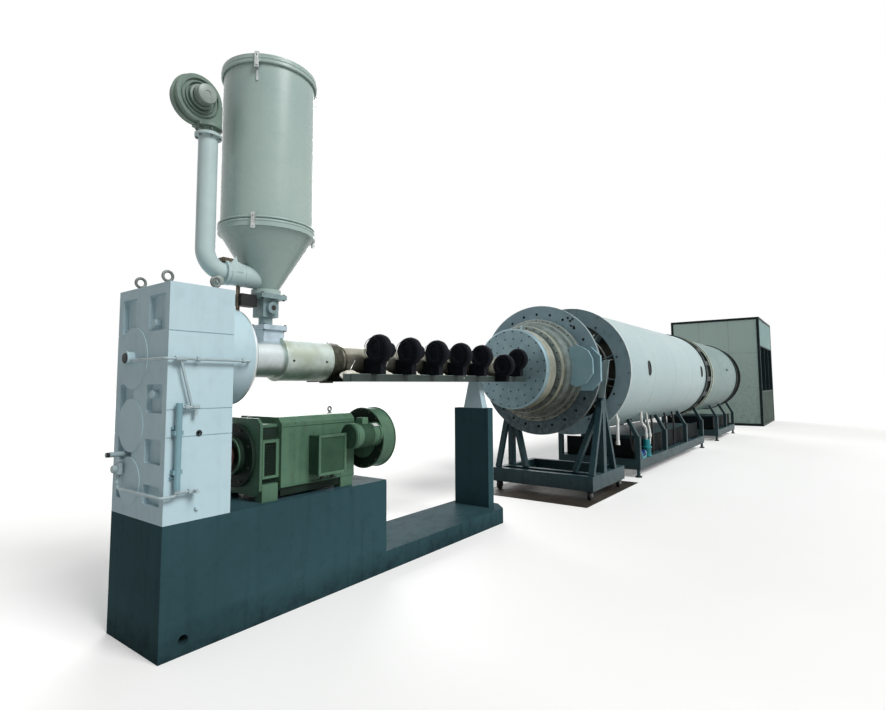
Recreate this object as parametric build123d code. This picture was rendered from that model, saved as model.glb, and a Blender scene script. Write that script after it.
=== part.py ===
"""Jacket pipe extrusion line: single-screw extruder with drying hopper, large pipe die on its
trolley, vacuum sizing tank, spray cooling tank and the enclosure at the delivery end.

Millimetres. +X runs down the line, +Y is the far side, +Z is up. The origin is on the floor,
on the hopper's axis, in the underside of the extruder base.
"""
import os
from math import cos, radians, sin

from build123d import *

# Driving dimensions of the whole line
line_height = 1810
clearance = 0.3

# Extruder base
base_rear = -940
base_width = 692
base_length = 1912
base_height = 780
plinth_height = 170
plinth_length = 2150
plinth_corner = 170
deck_lip = 14
jacking_hole = 30
jacking_hole_inset = 145
jacking_hole_height = 91

# Gearbox
gearbox_length = 430
gearbox_height = 1457
pocket_depth = 34
pocket_corner = 16
near_pocket = (-295, -85)
far_pocket = (90, 285)
pocket_rows = ((1945, 2172), (1435, 1612), (1126, 1278), (880, 1000))
boss_y = 108
boss_proud = 6
main_boss = (1780, 200)
middle_boss = (1350, 170)
low_boss = (1000, 150)
plug_radius = 44
plug_length = 46
pocket_plugs = ((-160, 1991), (-162, 1550))
pocket_plug_radius = 25
seam_heights = (1934, 1454, 1288)
seam_width = 7
seam_depth = 5
drain_hole = (-734, 1308)
drain_radius = 14
output_flange_radius = 345
output_flange_length = 215
output_flange_lip = 45
output_flange_step = 60
eye_radius = 30
eye_wire = 9
eye_inset = 60
eye_places = ((-917, -262), (-917, 100), (-632, -312), (-632, 312))
eye_seat = 16

# Forced lubrication
pump_place = (190, 1165)
pump_radius = 17
pump_cap_radius = 12
pump_length = 88
pump_cap_length = 22
filter_inset = 60
filter_radius = 19
filter_stand = 16
filter_span = (985, 1498)
clamp_heights = (1077, 1308)
clamp_height = 26
clamp_margin = 8
oil_pipe_radius = 9
oil_pipe_bend = 24
supply_height = 1766
suction_height = 950
suction_stand = 34
suction_valve = (24, 1040, 1110)
valve_place = (-803, 1472)
valve_length = 62
low_valve_height = 985

# Barrel
feed_radius = 146
feed_length = 350
cover_radius = 172
cover_length = 468
collar_radius = 158
collar_length = 118
tube_radius = 128
band_radius = 140
band_length = 330
band_gap = 55

# Support pillar under the barrel
pillar_place = 2860
pillar_thickness = 110
pillar_width = 480
pillar_offset = 30
pillar_top = 1322
pedestal_foot = 270
pedestal_head = 130

# Tray and blowers along the barrel
tray_half_width = 235
tray_floor = 1634
tray_side = 62
tray_sheet = 6
saddle_half = 70
fan_radius = 137
fan_depth = 96
fan_offset = 300
fan_pitch = 420
fan_first = 880
fan_count = 7
fan_rise = 105
fan_dish = 14
fan_motor_radius = 68
fan_motor_length = 105
fan_duct = 94
fan_duct_edge = 13
fan_duct_reach = 150
low_fan = 5
low_fan_drop = 90
low_fan_offset = 345

# Hopper
hopper_place = -35
hopper_radius = 345
hopper_wall = 4
hopper_low = 2790
hopper_height = 1236
hopper_rim = 16
rim_height = 34
outlet_radius = 90
throat_half = 92
throat_depth = 65
throat_block_height = 74
throat_plate = (104, 84)
throat_plate_thickness = 36
gate_neck_radius = 52
gate_neck_height = 60
gate_half = 68
gate_height = 140
gate_boss_radius = 46
gate_boss_length = 34
outlet_plate_half = 112
outlet_plate_thickness = 36
lid_edge = 22
lid_dome = 30
latch_angles = (-140, -20, 100)
latch_length = 120
latch_width = 32
latch_depth = 14

# Hot air pipe and its blower
duct_radius = 66
duct_place = -540
duct_bend = 150
duct_top = 3400
duct_flange = 92
duct_flange_thickness = 20
neck_rise = 40
heater_height = 2424
heater_radius = 84
heater_rear = -385
volute_centre = (-635, 3620)
volute_radius = 165
volute_depth = 104
volute_rim = 12
volute_outlet = 74
blower_boss_radius = 66
blower_boss_length = 95

# Drive motor
motor_axis = 1095
motor_half = 272
motor_rear = -246
motor_length = 900
motor_corner = 40
drive_end_length = 173
drive_end_inset = 46
end_plate = 20
louvre_span = (940, 1212)
louvre_edge = 16
motor_foot_width = 76
motor_foot_length = 130
motor_foot_inset = 34
shield_radius = 228
shield_length = 30
cap_radius = 140
cap_length = 32
shaft_radius = 62
coupling_radius = 128
coupling_span = (70, 150)
terminal_rear = 185
terminal_low = 925
terminal_length = 265
terminal_height = 292
terminal_depth = 118
terminal_lid = 14
drum_radius = 249
drum_length = 150
drum_y = -260
drum_z = 1153
drum_gap = 102
drum_lip = 7
drum_neck = (163, 160)
fan_motor_y = -410
fan_motor_z = 1195
fan_cowl_radius = 100
fan_body_radius = 92
fan_cowl_length = 70
fan_frame_length = 290
stub_box = (64, 70, 44)

# Pipe die
die_rear = 3790
die_plate_radius = 545
die_plate_length = 250
die_groove_radius = 500
die_groove_length = 50
die_ring_radius = 600
die_ring_length = 90
die_body_radius = 640
die_body_length = 400
die_flange_radius = 940
die_flange_thickness = 62
die_flange_pitch_radius = 818
die_bolt_radius = 20
die_bolt_spacing = 15
outlet_outer = 520
outlet_length = 760
outlet_inner = 470
mandrel_radius = 445
lug_inner = 500
lug_outer = 965
lug_half_height = 300
lug_cut = 130
lug_thickness = 55

# Die trolley
trolley_rear = 4600
trolley_length = 1310
trolley_half_width = 790
channel_height = 200
channel_width = 90
wheel_radius = 62
wheel_width = 46
floor_plate_thickness = 8
floor_plate_margin = (380, 470)
floor_plate_side = 60
post_place = 5110
post_top = 1400
post_width = 110
post_depth = 80
leg_spread = 430
leg_gather = 40
leg_width = 60
gusset_height = 200
gusset_half = 100
gusset_sheet = 16
cross_member_back = 240
brace_width = 110
wheel_inset = 70
fork_half = 38
fork_lap = 20
carrier_thickness = 90
carrier_radius = 640
cradle_depth = 250
cradle_rise = 20
cradle_drop = -50
cradle_foot = 80
cradle_head = 20
cradle_width = 110

# Vacuum sizing tank
tank_radius = 993
tank_wall = 14
ring_radius = 1022
ring_bore = 785
ring_thickness = 60
tank_1_rear = 5660
tank_1_length = 5750
neck_radius = 940
neck_length = 700
neck_flange = 80
sleeve_bore = 482
sleeve_wall = 22
sleeve_length = 1150
sleeve_lead = 110
bulkhead_recess = 300

# Cooling tank
tank_2_length = 3850
hoop_length = 880
hoop_thickness = 80
clamp_blocks = 12
clamp_width = 140
clamp_inner = 770
clamp_outer = 890

# Tank frames
frame_half_width = 750
frame_rail_height = 170
frame_rail_width = 80
frame_rail_low = 130
frame_post_top = 700
frame_post_width = 80
foot_radius = 55
foot_height = 25
foot_inset = 48
strut_reach = 470
strut_rise = 420
strut_width = 60
basin_side = 60
basin_end = 700
basin_top = 640
tank_1_post = 6910
tank_2_post = 14060

# Pumps in the sizing tank's frame
water_pump_place = (7460, -690)
water_pump_radius = 62
water_pump_flange = 80
water_pump_height = 300
vacuum_pump_place = (6990, -690)
vacuum_pump_radius = 55
vacuum_pump_length = 300
pump_flange_thickness = 24

# Enclosure at the delivery end
cabinet_gap = 4510
cabinet_length = 4020
cabinet_near = -1187
cabinet_far = 1935
cabinet_height = 4093
cabinet_profile = 90
cabinet_panel = 40
cabinet_inset = 12
window_low = 1300
window_high = 3000
window_side = 60

# Places worked out from the driving dimensions
base_front = base_rear + base_length
plinth_front = base_front + plinth_length
gearbox_front = base_rear + gearbox_length
gearbox_top = base_height + gearbox_height
feed_rear = gearbox_front + output_flange_length
cover_rear = feed_rear + feed_length
collar_rear = cover_rear + cover_length
tube_rear = collar_rear + collar_length
die_ring_rear = die_rear + die_plate_length + die_groove_length
die_body_rear = die_ring_rear + die_ring_length
die_flange_rear = die_body_rear + die_body_length
outlet_rear = die_flange_rear + die_flange_thickness
motor_front = motor_rear + motor_length
tank_1_front = tank_1_rear + tank_1_length
neck_front = tank_1_front + neck_length
tank_2_rear = neck_front + clearance
tank_2_front = tank_2_rear + tank_2_length
cabinet_rear = tank_2_front + cabinet_gap
hopper_top = hopper_low + hopper_height
throat_top = line_height + feed_radius + throat_block_height
gate_low = throat_top + throat_plate_thickness + gate_neck_height
gate_high = gate_low + gate_height
cone_seat = gate_high + outlet_plate_thickness
cone_low = cone_seat + outlet_plate_thickness
cone_high = hopper_low - rim_height

parts = {}


def block(x, y, z):
    """Box between two corners, given as (low, high) along each axis."""
    centre = Pos((x[0] + x[1]) / 2, (y[0] + y[1]) / 2, (z[0] + z[1]) / 2)
    return centre * Box(x[1] - x[0], y[1] - y[0], z[1] - z[0])


def turned(profile, y=0, z=line_height):
    """Solid of revolution about a line along X, from (x, radius) points."""
    outline = Wire.make_polygon([Vector(px, y, z + r) for px, r in profile], close=True)
    return revolve(Face(outline), axis=Axis((0, y, z), (1, 0, 0)), revolution_arc=360)


def turned_up(profile, x=0, y=0):
    """Solid of revolution about a vertical line, from (radius, z) points."""
    outline = Wire.make_polygon([Vector(x + r, y, pz) for r, pz in profile], close=True)
    return revolve(Face(outline), axis=Axis((x, y, 0), (0, 0, 1)), revolution_arc=360)


def disc(x, radius, y=0, z=line_height, bore=0):
    """Disc or ring about a line along X, between two stations."""
    return turned([(x[0], bore), (x[1], bore), (x[1], radius), (x[0], radius)], y, z)


def rod(x, radius, y, z):
    """Plain cylinder along X between two stations."""
    middle = Pos((x[0] + x[1]) / 2, y, z)
    return middle * Rot(0, 90, 0) * Cylinder(radius, x[1] - x[0])


def upright(radius, x, y, z):
    """Plain cylinder standing between two heights."""
    return Pos(x, y, (z[0] + z[1]) / 2) * Cylinder(radius, z[1] - z[0])


def bar(start, end, width, depth, side=(1, 0, 0)):
    """Rectangular bar between two points; its width lies along side."""
    start = Vector(*start)
    along = Vector(*end) - start
    section = Plane(origin=start, x_dir=Vector(*side), z_dir=along) * Rectangle(width, depth)
    return extrude(section, amount=along.length)


def both_sides(solid):
    """The solid and its mirror image across the line's centre plane."""
    return solid + mirror(solid, about=Plane.XZ)


def extruder_base():
    """Welded base: high box under the drive, with a jacking hole in each side."""
    half = base_width / 2
    body = block((base_rear, base_front), (-half, half), (0, base_height - deck_lip))
    deck = block((base_rear, base_front), (-half, half), (base_height - deck_lip, base_height))
    hole_x = base_rear + jacking_hole_inset
    hole = Pos(hole_x, 0, jacking_hole_height) * Rot(90, 0, 0) * Cylinder(jacking_hole, base_width)
    parts["extruder_base"] = body + deck - hole


def base_plinth():
    """Low plinth that carries the barrel pillar, its free corners cut off."""
    half = base_width / 2
    outline = Polyline(
        (base_front, -half),
        (plinth_front - plinth_corner, -half),
        (plinth_front, -half + plinth_corner),
        (plinth_front, half - plinth_corner),
        (plinth_front - plinth_corner, half),
        (base_front, half),
        close=True,
    )
    parts["base_plinth"] = extrude(make_face(outline), amount=plinth_height)


def barrel_pillar():
    """Pillar on the plinth, with the tapered pedestal that holds the barrel."""
    x = (pillar_place, pillar_place + pillar_thickness)
    y = (pillar_offset - pillar_width / 2, pillar_offset + pillar_width / 2)
    parts["barrel_pillar"] = block(x, y, (plinth_height, pillar_top))
    middle = pillar_place + pillar_thickness / 2
    foot = Pos(middle, 0, pillar_top) * Rectangle(pillar_thickness, pedestal_foot)
    head = Pos(middle, 0, tray_floor) * Rectangle(pillar_thickness * 0.8, pedestal_head)
    parts["barrel_pedestal"] = loft([foot.face(), head.face()])


def gearbox():
    """Cast gear case: cored pockets and bearing bosses on its rear face, split lines round it."""
    half = base_width / 2
    case = block((base_rear, gearbox_front), (-half, half), (base_height, gearbox_top))
    for low, high in pocket_rows:
        for y in (near_pocket, far_pocket):
            pocket = block((base_rear - 1, base_rear + pocket_depth), y, (low, high))
            case -= fillet(pocket.edges().filter_by(Axis.X), pocket_corner)
    for z, radius in (main_boss, middle_boss, low_boss):
        case += rod((base_rear - boss_proud, base_rear + pocket_depth), radius, boss_y, z)
    for y, z in pocket_plugs:
        case += rod((base_rear - boss_proud, base_rear + pocket_depth), pocket_plug_radius, y, z)
    plug_end = base_rear - boss_proud - plug_length
    case += rod((plug_end, base_rear), plug_radius, boss_y, main_boss[0])
    for z in seam_heights:
        side = block((base_rear - 1, gearbox_front + 1), (-half - 1, -half + seam_depth), (z, z + seam_width))
        case -= both_sides(side)
    x, z = drain_hole
    case -= Pos(x, -half, z) * Rot(90, 0, 0) * Cylinder(drain_radius, 2 * pocket_depth)
    parts["gearbox_housing"] = case

    parts["gearbox_flange"] = turned(
        [
            (gearbox_front, 0),
            (feed_rear, 0),
            (feed_rear, feed_radius + output_flange_step),
            (feed_rear - output_flange_lip, output_flange_radius),
            (gearbox_front, output_flange_radius),
        ]
    )

    eyes = [lifting_eye(x, y, gearbox_top) for x, y in eye_places]
    eyes.append(small_eye(motor_rear + drive_end_length / 2, 0, motor_axis + motor_half - drive_end_inset))
    eyes.append(small_eye(motor_front - eye_seat * 2, 0, motor_axis + motor_half))
    parts["lifting_eyes"] = Compound(children=eyes)


def lifting_eye(x, y, z, radius=eye_radius, wire=eye_wire):
    """Forged eye bolt, its ring standing along the line."""
    stem = upright(wire * 1.6, x, y, (z, z + eye_seat))
    ring = Pos(x, y, z + eye_seat + radius - wire / 2)
    return stem + ring * Rot(90, 0, 0) * Torus(radius, wire)


def small_eye(x, y, z):
    """Eye bolt of the motor, half the size."""
    return lifting_eye(x, y, z, eye_radius * 0.6, eye_wire * 0.75)


def oil_system():
    """Forced lubrication: pump on the rear face, pipes round the near corner, filter column."""
    near = -base_width / 2
    middle = base_rear + filter_inset
    out = near - filter_stand - filter_radius
    column = upright(filter_radius, middle, out, filter_span)
    grip = filter_radius + clamp_margin
    for z in clamp_heights:
        clamp = block((middle - grip, middle + grip), (out - clamp_margin, near), (z, z + clamp_height))
        column += clamp
    parts["oil_cooler"] = column

    y, z = pump_place
    pump_end = base_rear - pump_length
    pump = rod((pump_end, base_rear + pocket_depth), pump_radius, y, z)
    pump += rod((pump_end - pump_cap_length, pump_end), pump_cap_radius, y, z)
    parts["oil_pump"] = pump

    rear = base_rear - boss_proud - plug_length / 2
    rise = line_height - supply_height - oil_pipe_radius
    flange_y = -((output_flange_radius**2 - rise**2) ** 0.5) - clearance
    flange_x = gearbox_front + output_flange_length / 2
    supply = pipe(
        [
            (rear, boss_y - plug_radius, supply_height),
            (rear, out, supply_height),
            (flange_x, out, supply_height),
            (flange_x, flange_y, supply_height),
        ],
        oil_pipe_radius,
        oil_pipe_bend,
    )
    valve_x, valve_z = valve_place
    branch_top = Vector(middle, out, supply_height)
    branch_foot = Vector(valve_x, out, valve_z)
    supply += bar(branch_top, branch_foot, oil_pipe_radius * 1.4, oil_pipe_radius * 1.4, (0, 1, 0))
    supply += rod((middle + filter_radius, valve_x + valve_length / 2), oil_pipe_radius, out, valve_z)
    suction = pipe(
        [
            (base_rear - suction_stand, y, z - pump_radius),
            (base_rear - suction_stand, y, suction_height),
            (base_rear - suction_stand, out, suction_height),
            (middle, out, suction_height),
            (middle, out, filter_span[0]),
        ],
        oil_pipe_radius,
        oil_pipe_bend,
    )
    radius, low, high = suction_valve
    suction += upright(radius, base_rear - suction_stand, y, (low, high))
    suction += rod((middle, valve_x + valve_length / 2), oil_pipe_radius, out, low_valve_height - 2 * oil_pipe_radius)
    parts["oil_pipes"] = supply + suction


def pipe(points, radius, bend):
    """Round pipe along straight runs joined by equal bends."""
    path = FilletPolyline(*points, radius=bend)
    start = Plane(origin=path @ 0, z_dir=path % 0)
    return sweep(start * Circle(radius), path=path)


def drive_motor():
    """Square-frame motor on its feet: open drive end with louvres, terminal box, top-hat blower."""
    top = motor_axis + motor_half
    low = motor_axis - motor_half
    body_rear = motor_rear + drive_end_length
    z = (low, top)
    y = (-motor_half, motor_half)
    frame = block((body_rear, motor_front), y, z)
    frame += block((motor_rear, motor_rear + end_plate), y, z)
    frame = chamfer(frame.edges().filter_by(Axis.X), motor_corner)
    inner = motor_half - drive_end_inset
    frame += block((motor_rear, body_rear), (-inner, inner), (motor_axis - inner, motor_axis + inner))
    panel = block(
        (motor_rear + end_plate, body_rear), (-motor_half + louvre_edge, -inner), louvre_span
    )
    frame += both_sides(panel)
    for x in (motor_rear + end_plate, motor_front - motor_foot_length - end_plate):
        for side in (-1, 1):
            middle = side * (motor_half - motor_foot_inset)
            frame += block(
                (x, x + motor_foot_length),
                (middle - motor_foot_width / 2, middle + motor_foot_width / 2),
                (base_height, low + 2 * motor_corner),
            )
    parts["motor_frame"] = frame

    shield = disc((motor_rear - shield_length, motor_rear), shield_radius, 0, motor_axis)
    cap_rear = motor_rear - shield_length - cap_length
    shield += disc((cap_rear, motor_rear - shield_length), cap_radius, 0, motor_axis)
    parts["motor_end_shield"] = shield
    shaft = rod((gearbox_front, cap_rear), shaft_radius, 0, motor_axis)
    start, end = coupling_span
    shaft += rod((gearbox_front + start, gearbox_front + end), coupling_radius, 0, motor_axis)
    parts["shaft_coupling"] = shaft

    box_y = (-motor_half - terminal_depth, -motor_half)
    box_x = (terminal_rear, terminal_rear + terminal_length)
    box_z = (terminal_low, terminal_low + terminal_height)
    terminals = block(box_x, (box_y[0] + terminal_lid, box_y[1]), box_z)
    terminals += block(
        (box_x[0] - terminal_lid / 2, box_x[1] + terminal_lid / 2),
        (box_y[0], box_y[0] + terminal_lid),
        (box_z[0] - terminal_lid / 2, box_z[1] + terminal_lid / 2),
    )
    parts["terminal_box"] = terminals

    drum_rear = motor_front + drum_gap
    drum_front = drum_rear + drum_length
    drum = disc((drum_rear, drum_front), drum_radius, drum_y, drum_z)
    drum += disc((drum_rear, drum_rear + drum_lip), drum_radius + drum_lip, drum_y, drum_z)
    drum += disc((drum_front - drum_lip, drum_front), drum_radius + drum_lip, drum_y, drum_z)
    half_y, half_z = drum_neck
    drum += block(
        (motor_front, drum_rear + drum_lip), (-half_y, half_y), (motor_axis - half_z, motor_axis + half_z)
    )
    parts["blower_drum"] = drum
    start = drum_rear - fan_frame_length
    fan_motor = turned(
        [
            (start, 0),
            (drum_rear, 0),
            (drum_rear, fan_cowl_radius),
            (drum_rear - end_plate, fan_cowl_radius),
            (drum_rear - end_plate, fan_body_radius),
            (start + fan_cowl_length, fan_body_radius),
            (start + fan_cowl_length, fan_cowl_radius),
            (start + drum_lip, fan_cowl_radius),
            (start, fan_cowl_radius - drum_lip),
        ],
        fan_motor_y,
        fan_motor_z,
    )
    length, width, height = stub_box
    stub = Pos(drum_rear - fan_frame_length / 2, fan_motor_y, fan_motor_z + fan_body_radius + height / 2)
    fan_motor += stub * Box(length, width, height + 2 * drum_lip)
    parts["blower_motor"] = fan_motor


def barrel():
    """Feed section, cylinder cover, clamp collar and heated tube, turned about the line's axis."""
    parts["feed_section"] = disc((feed_rear, cover_rear), feed_radius)
    parts["barrel_cover"] = disc((cover_rear, collar_rear), cover_radius)
    parts["barrel_collar"] = disc((collar_rear, tube_rear), collar_radius)
    tube = disc((tube_rear, die_rear), tube_radius)
    x = tube_rear + band_gap
    while x + band_length < die_rear:
        tube += disc((x, x + band_length), band_radius)
        x += band_length + band_gap
    parts["barrel_tube"] = tube


def tray_and_fans():
    """Sheet tray under the heated tube, and the row of barrel blowers on its near edge."""
    x = (tube_rear, die_rear - 40)
    tray = block(x, (-tray_half_width, tray_half_width), (tray_floor, tray_floor + tray_sheet))
    for side in (-1, 1):
        edge = sorted((side * tray_half_width, side * (tray_half_width - tray_sheet)))
        tray += block(x, edge, (tray_floor, tray_floor + tray_side))
    saddle = block(
        (pillar_place, pillar_place + pillar_thickness),
        (-saddle_half, saddle_half),
        (tray_floor + tray_sheet, line_height - tube_radius + tray_sheet),
    )
    parts["fan_tray"] = tray + (saddle - disc(x, band_radius + clearance))

    fans = []
    for number in range(int(fan_count)):
        low = number == low_fan
        y = -low_fan_offset if low else -fan_offset
        z = line_height + fan_rise - (low_fan_drop if low else 0)
        fans.append(blower(fan_first + number * fan_pitch, y, z, low))
    parts["barrel_fans"] = Compound(children=fans)


def blower(rear, y, z, low):
    """Barrel blower: dished inlet face, drum-shaped casing, motor behind and duct to the barrel."""
    front = rear + fan_depth
    end = front + fan_motor_length
    casing = turned(
        [
            (rear + fan_dish, 0),
            (end, 0),
            (end, fan_motor_radius * 0.6),
            (end - fan_dish, fan_motor_radius),
            (front, fan_motor_radius),
            (front, fan_radius * 0.8),
            (rear + fan_depth * 0.72, fan_radius * 0.97),
            (rear + fan_depth * 0.4, fan_radius),
            (rear + fan_depth * 0.12, fan_radius * 0.95),
            (rear, fan_radius * 0.84),
            (rear, fan_radius * 0.62),
            (rear + fan_dish, fan_radius * 0.5),
        ],
        y,
        z,
    )
    duct_low = tray_floor if low else tray_floor + tray_side + clearance
    duct_end = -tray_half_width if low else -fan_duct_reach
    duct = block(
        (rear + fan_duct_edge, front - fan_duct_edge),
        (y - fan_duct / 2, duct_end),
        (duct_low, z - fan_radius * 0.55),
    )
    duct -= disc((rear, front), band_radius + clearance)
    return casing + duct


def hopper():
    """Drying hopper: throat, cone, cylindrical shell and lid, all about the vertical axis."""
    foot = block(
        (-throat_half, throat_half),
        (-throat_depth, throat_depth),
        (line_height + feed_radius * 0.8, throat_top),
    )
    foot -= disc((feed_rear, cover_rear), feed_radius + clearance)
    foot -= disc((cover_rear - clearance, collar_rear), cover_radius + clearance)
    neck_low = throat_top + throat_plate_thickness
    x, y = throat_plate
    foot += block((-x, x), (-y, y), (throat_top, neck_low))
    parts["hopper_throat"] = foot

    x = hopper_place
    gate = upright(gate_neck_radius, x, 0, (neck_low, gate_low))
    gate += block((x - gate_half, x + gate_half), (-gate_half, gate_half), (gate_low, gate_high))
    boss = Pos(x, -gate_half - gate_boss_length / 2, (gate_low + gate_high) / 2)
    gate += boss * Rot(90, 0, 0) * Cylinder(gate_boss_radius, gate_boss_length)
    half = outlet_plate_half
    gate += block((x - half, x + half), (-half, half), (gate_high, cone_seat))
    parts["hopper_gate"] = gate

    outer = outlet_radius
    rim = hopper_radius + hopper_rim
    parts["hopper_cone"] = turned_up(
        [
            (outer - hopper_wall, cone_seat),
            (outlet_plate_half, cone_seat),
            (outlet_plate_half, cone_low),
            (outer, cone_low),
            (hopper_radius, cone_high),
            (rim, cone_high),
            (rim, hopper_low),
            (hopper_radius - hopper_wall, hopper_low),
            (hopper_radius - hopper_wall, cone_high),
            (outer - hopper_wall, cone_low),
        ],
        hopper_place,
    )
    parts["hopper_shell"] = turned_up(
        [
            (hopper_radius - hopper_wall, hopper_low),
            (rim, hopper_low),
            (rim, hopper_low + rim_height / 2),
            (hopper_radius, hopper_low + rim_height / 2),
            (hopper_radius, hopper_top - rim_height),
            (rim, hopper_top - rim_height),
            (rim, hopper_top),
            (hopper_radius - hopper_wall, hopper_top),
        ],
        hopper_place,
    )
    parts["hopper_lid"] = turned_up(
        [
            (0, hopper_top + lid_dome / 4),
            (hopper_radius - rim_height, hopper_top),
            (rim, hopper_top),
            (rim, hopper_top + lid_edge),
            (hopper_radius - rim_height, hopper_top + lid_edge + lid_dome / 3),
            (0, hopper_top + lid_edge + lid_dome),
        ],
        hopper_place,
    )
    latches = []
    for angle in latch_angles:
        for z in (hopper_low - latch_length / 2, hopper_top - latch_length * 0.75):
            strap = block(
                (rim, rim + latch_depth), (-latch_width / 2, latch_width / 2), (z, z + latch_length)
            )
            latches.append(Pos(hopper_place, 0, 0) * Rot(0, 0, angle) * strap)
    parts["hopper_latches"] = Compound(children=latches)


def hot_air():
    """Hot-air line of the dryer: blower, downpipe, bend and heater drum into the cone."""
    x = duct_place
    route = [(x, 0, duct_top), (x, 0, heater_height), (heater_rear, 0, heater_height)]
    down = pipe(route, duct_radius, duct_bend)
    seat = duct_top - duct_flange_thickness
    down += upright(duct_flange, x, 0, (seat, duct_top))
    down += rod((heater_rear - duct_flange_thickness, heater_rear), duct_flange, 0, heater_height)
    parts["hot_air_pipe"] = down

    heater = rod((heater_rear, hopper_place), heater_radius, 0, heater_height)
    shadow = turned_up(
        [
            (0, cone_seat),
            (outlet_radius + clearance, cone_seat),
            (outlet_radius + clearance, cone_low),
            (hopper_radius + clearance, cone_high),
            (0, cone_high),
        ],
        hopper_place,
    )
    parts["heater_drum"] = heater - shadow

    centre_x, centre_z = volute_centre
    centre = Pos(centre_x, 0, centre_z) * Rot(90, 0, 0)
    half = volute_depth / 2
    case = centre * Cylinder(volute_radius, volute_depth)
    case += centre * Cylinder(volute_radius + volute_rim, volute_rim)
    flange_low = duct_top + neck_rise
    outlet = block((centre_x, x + volute_outlet), (-half, half), (flange_low, centre_z))
    case += outlet - centre * Cylinder(volute_radius - 1, 2 * volute_depth)
    motor_y = -half - blower_boss_length / 2
    motor = Pos(centre_x, motor_y, centre_z) * Rot(90, 0, 0)
    case += motor * Cylinder(blower_boss_radius, blower_boss_length)
    case += upright(duct_flange, x, 0, (flange_low, flange_low + duct_flange_thickness))
    case += upright(duct_radius, x, 0, (duct_top, flange_low))
    parts["hopper_blower"] = case


def die():
    """Pipe die: bolted back plate, neck ring, stepped body and the drilled main flange."""
    plate_front = die_rear + die_plate_length
    parts["die_back_plate"] = turned(
        [
            (die_rear, 0),
            (plate_front, 0),
            (plate_front, die_plate_radius),
            (die_rear + 22, die_plate_radius),
            (die_rear, die_plate_radius - 22),
        ]
    )
    neck = disc((plate_front, die_ring_rear), die_groove_radius)
    neck += disc((die_ring_rear, die_body_rear), die_ring_radius)
    parts["die_neck"] = neck
    step = die_body_length / 4
    parts["die_body"] = turned(
        [
            (die_body_rear, 0),
            (die_flange_rear, 0),
            (die_flange_rear, die_body_radius + 90),
            (die_flange_rear - step, die_body_radius + 90),
            (die_flange_rear - step, die_body_radius + 45),
            (die_flange_rear - 2 * step, die_body_radius + 45),
            (die_flange_rear - 2 * step, die_body_radius),
            (die_body_rear, die_body_radius),
        ]
    )
    flange = disc((die_flange_rear, outlet_rear), die_flange_radius)
    for number in range(int(360 // die_bolt_spacing)):
        angle = number * die_bolt_spacing
        covered = min(angle % 180, 180 - angle % 180) < 2 * die_bolt_spacing
        if not covered:
            y = die_flange_pitch_radius * cos(radians(angle))
            z = line_height + die_flange_pitch_radius * sin(radians(angle))
            flange -= rod((die_flange_rear - 1, outlet_rear + 1), die_bolt_radius, y, z)
    parts["die_flange"] = flange

    outlet_front = outlet_rear + outlet_length
    lips = disc((outlet_rear, outlet_front), outlet_outer, bore=outlet_inner)
    parts["die_outlet"] = lips
    parts["die_mandrel"] = disc((outlet_rear, outlet_front), mandrel_radius)

    lug = Polyline(
        (-lug_inner, line_height - lug_half_height),
        (-lug_outer + lug_cut, line_height - lug_half_height),
        (-lug_outer, line_height - lug_half_height + lug_cut),
        (-lug_outer, line_height + lug_half_height - lug_cut),
        (-lug_outer + lug_cut, line_height + lug_half_height),
        (-lug_inner, line_height + lug_half_height),
        close=True,
    )
    face = Plane.YZ.offset(die_flange_rear - lug_thickness) * make_face(lug)
    solid = extrude(face, amount=lug_thickness)
    solid -= disc((die_body_rear, die_flange_rear), die_body_radius + 90 + clearance)
    parts["die_lugs"] = both_sides(solid)


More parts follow.
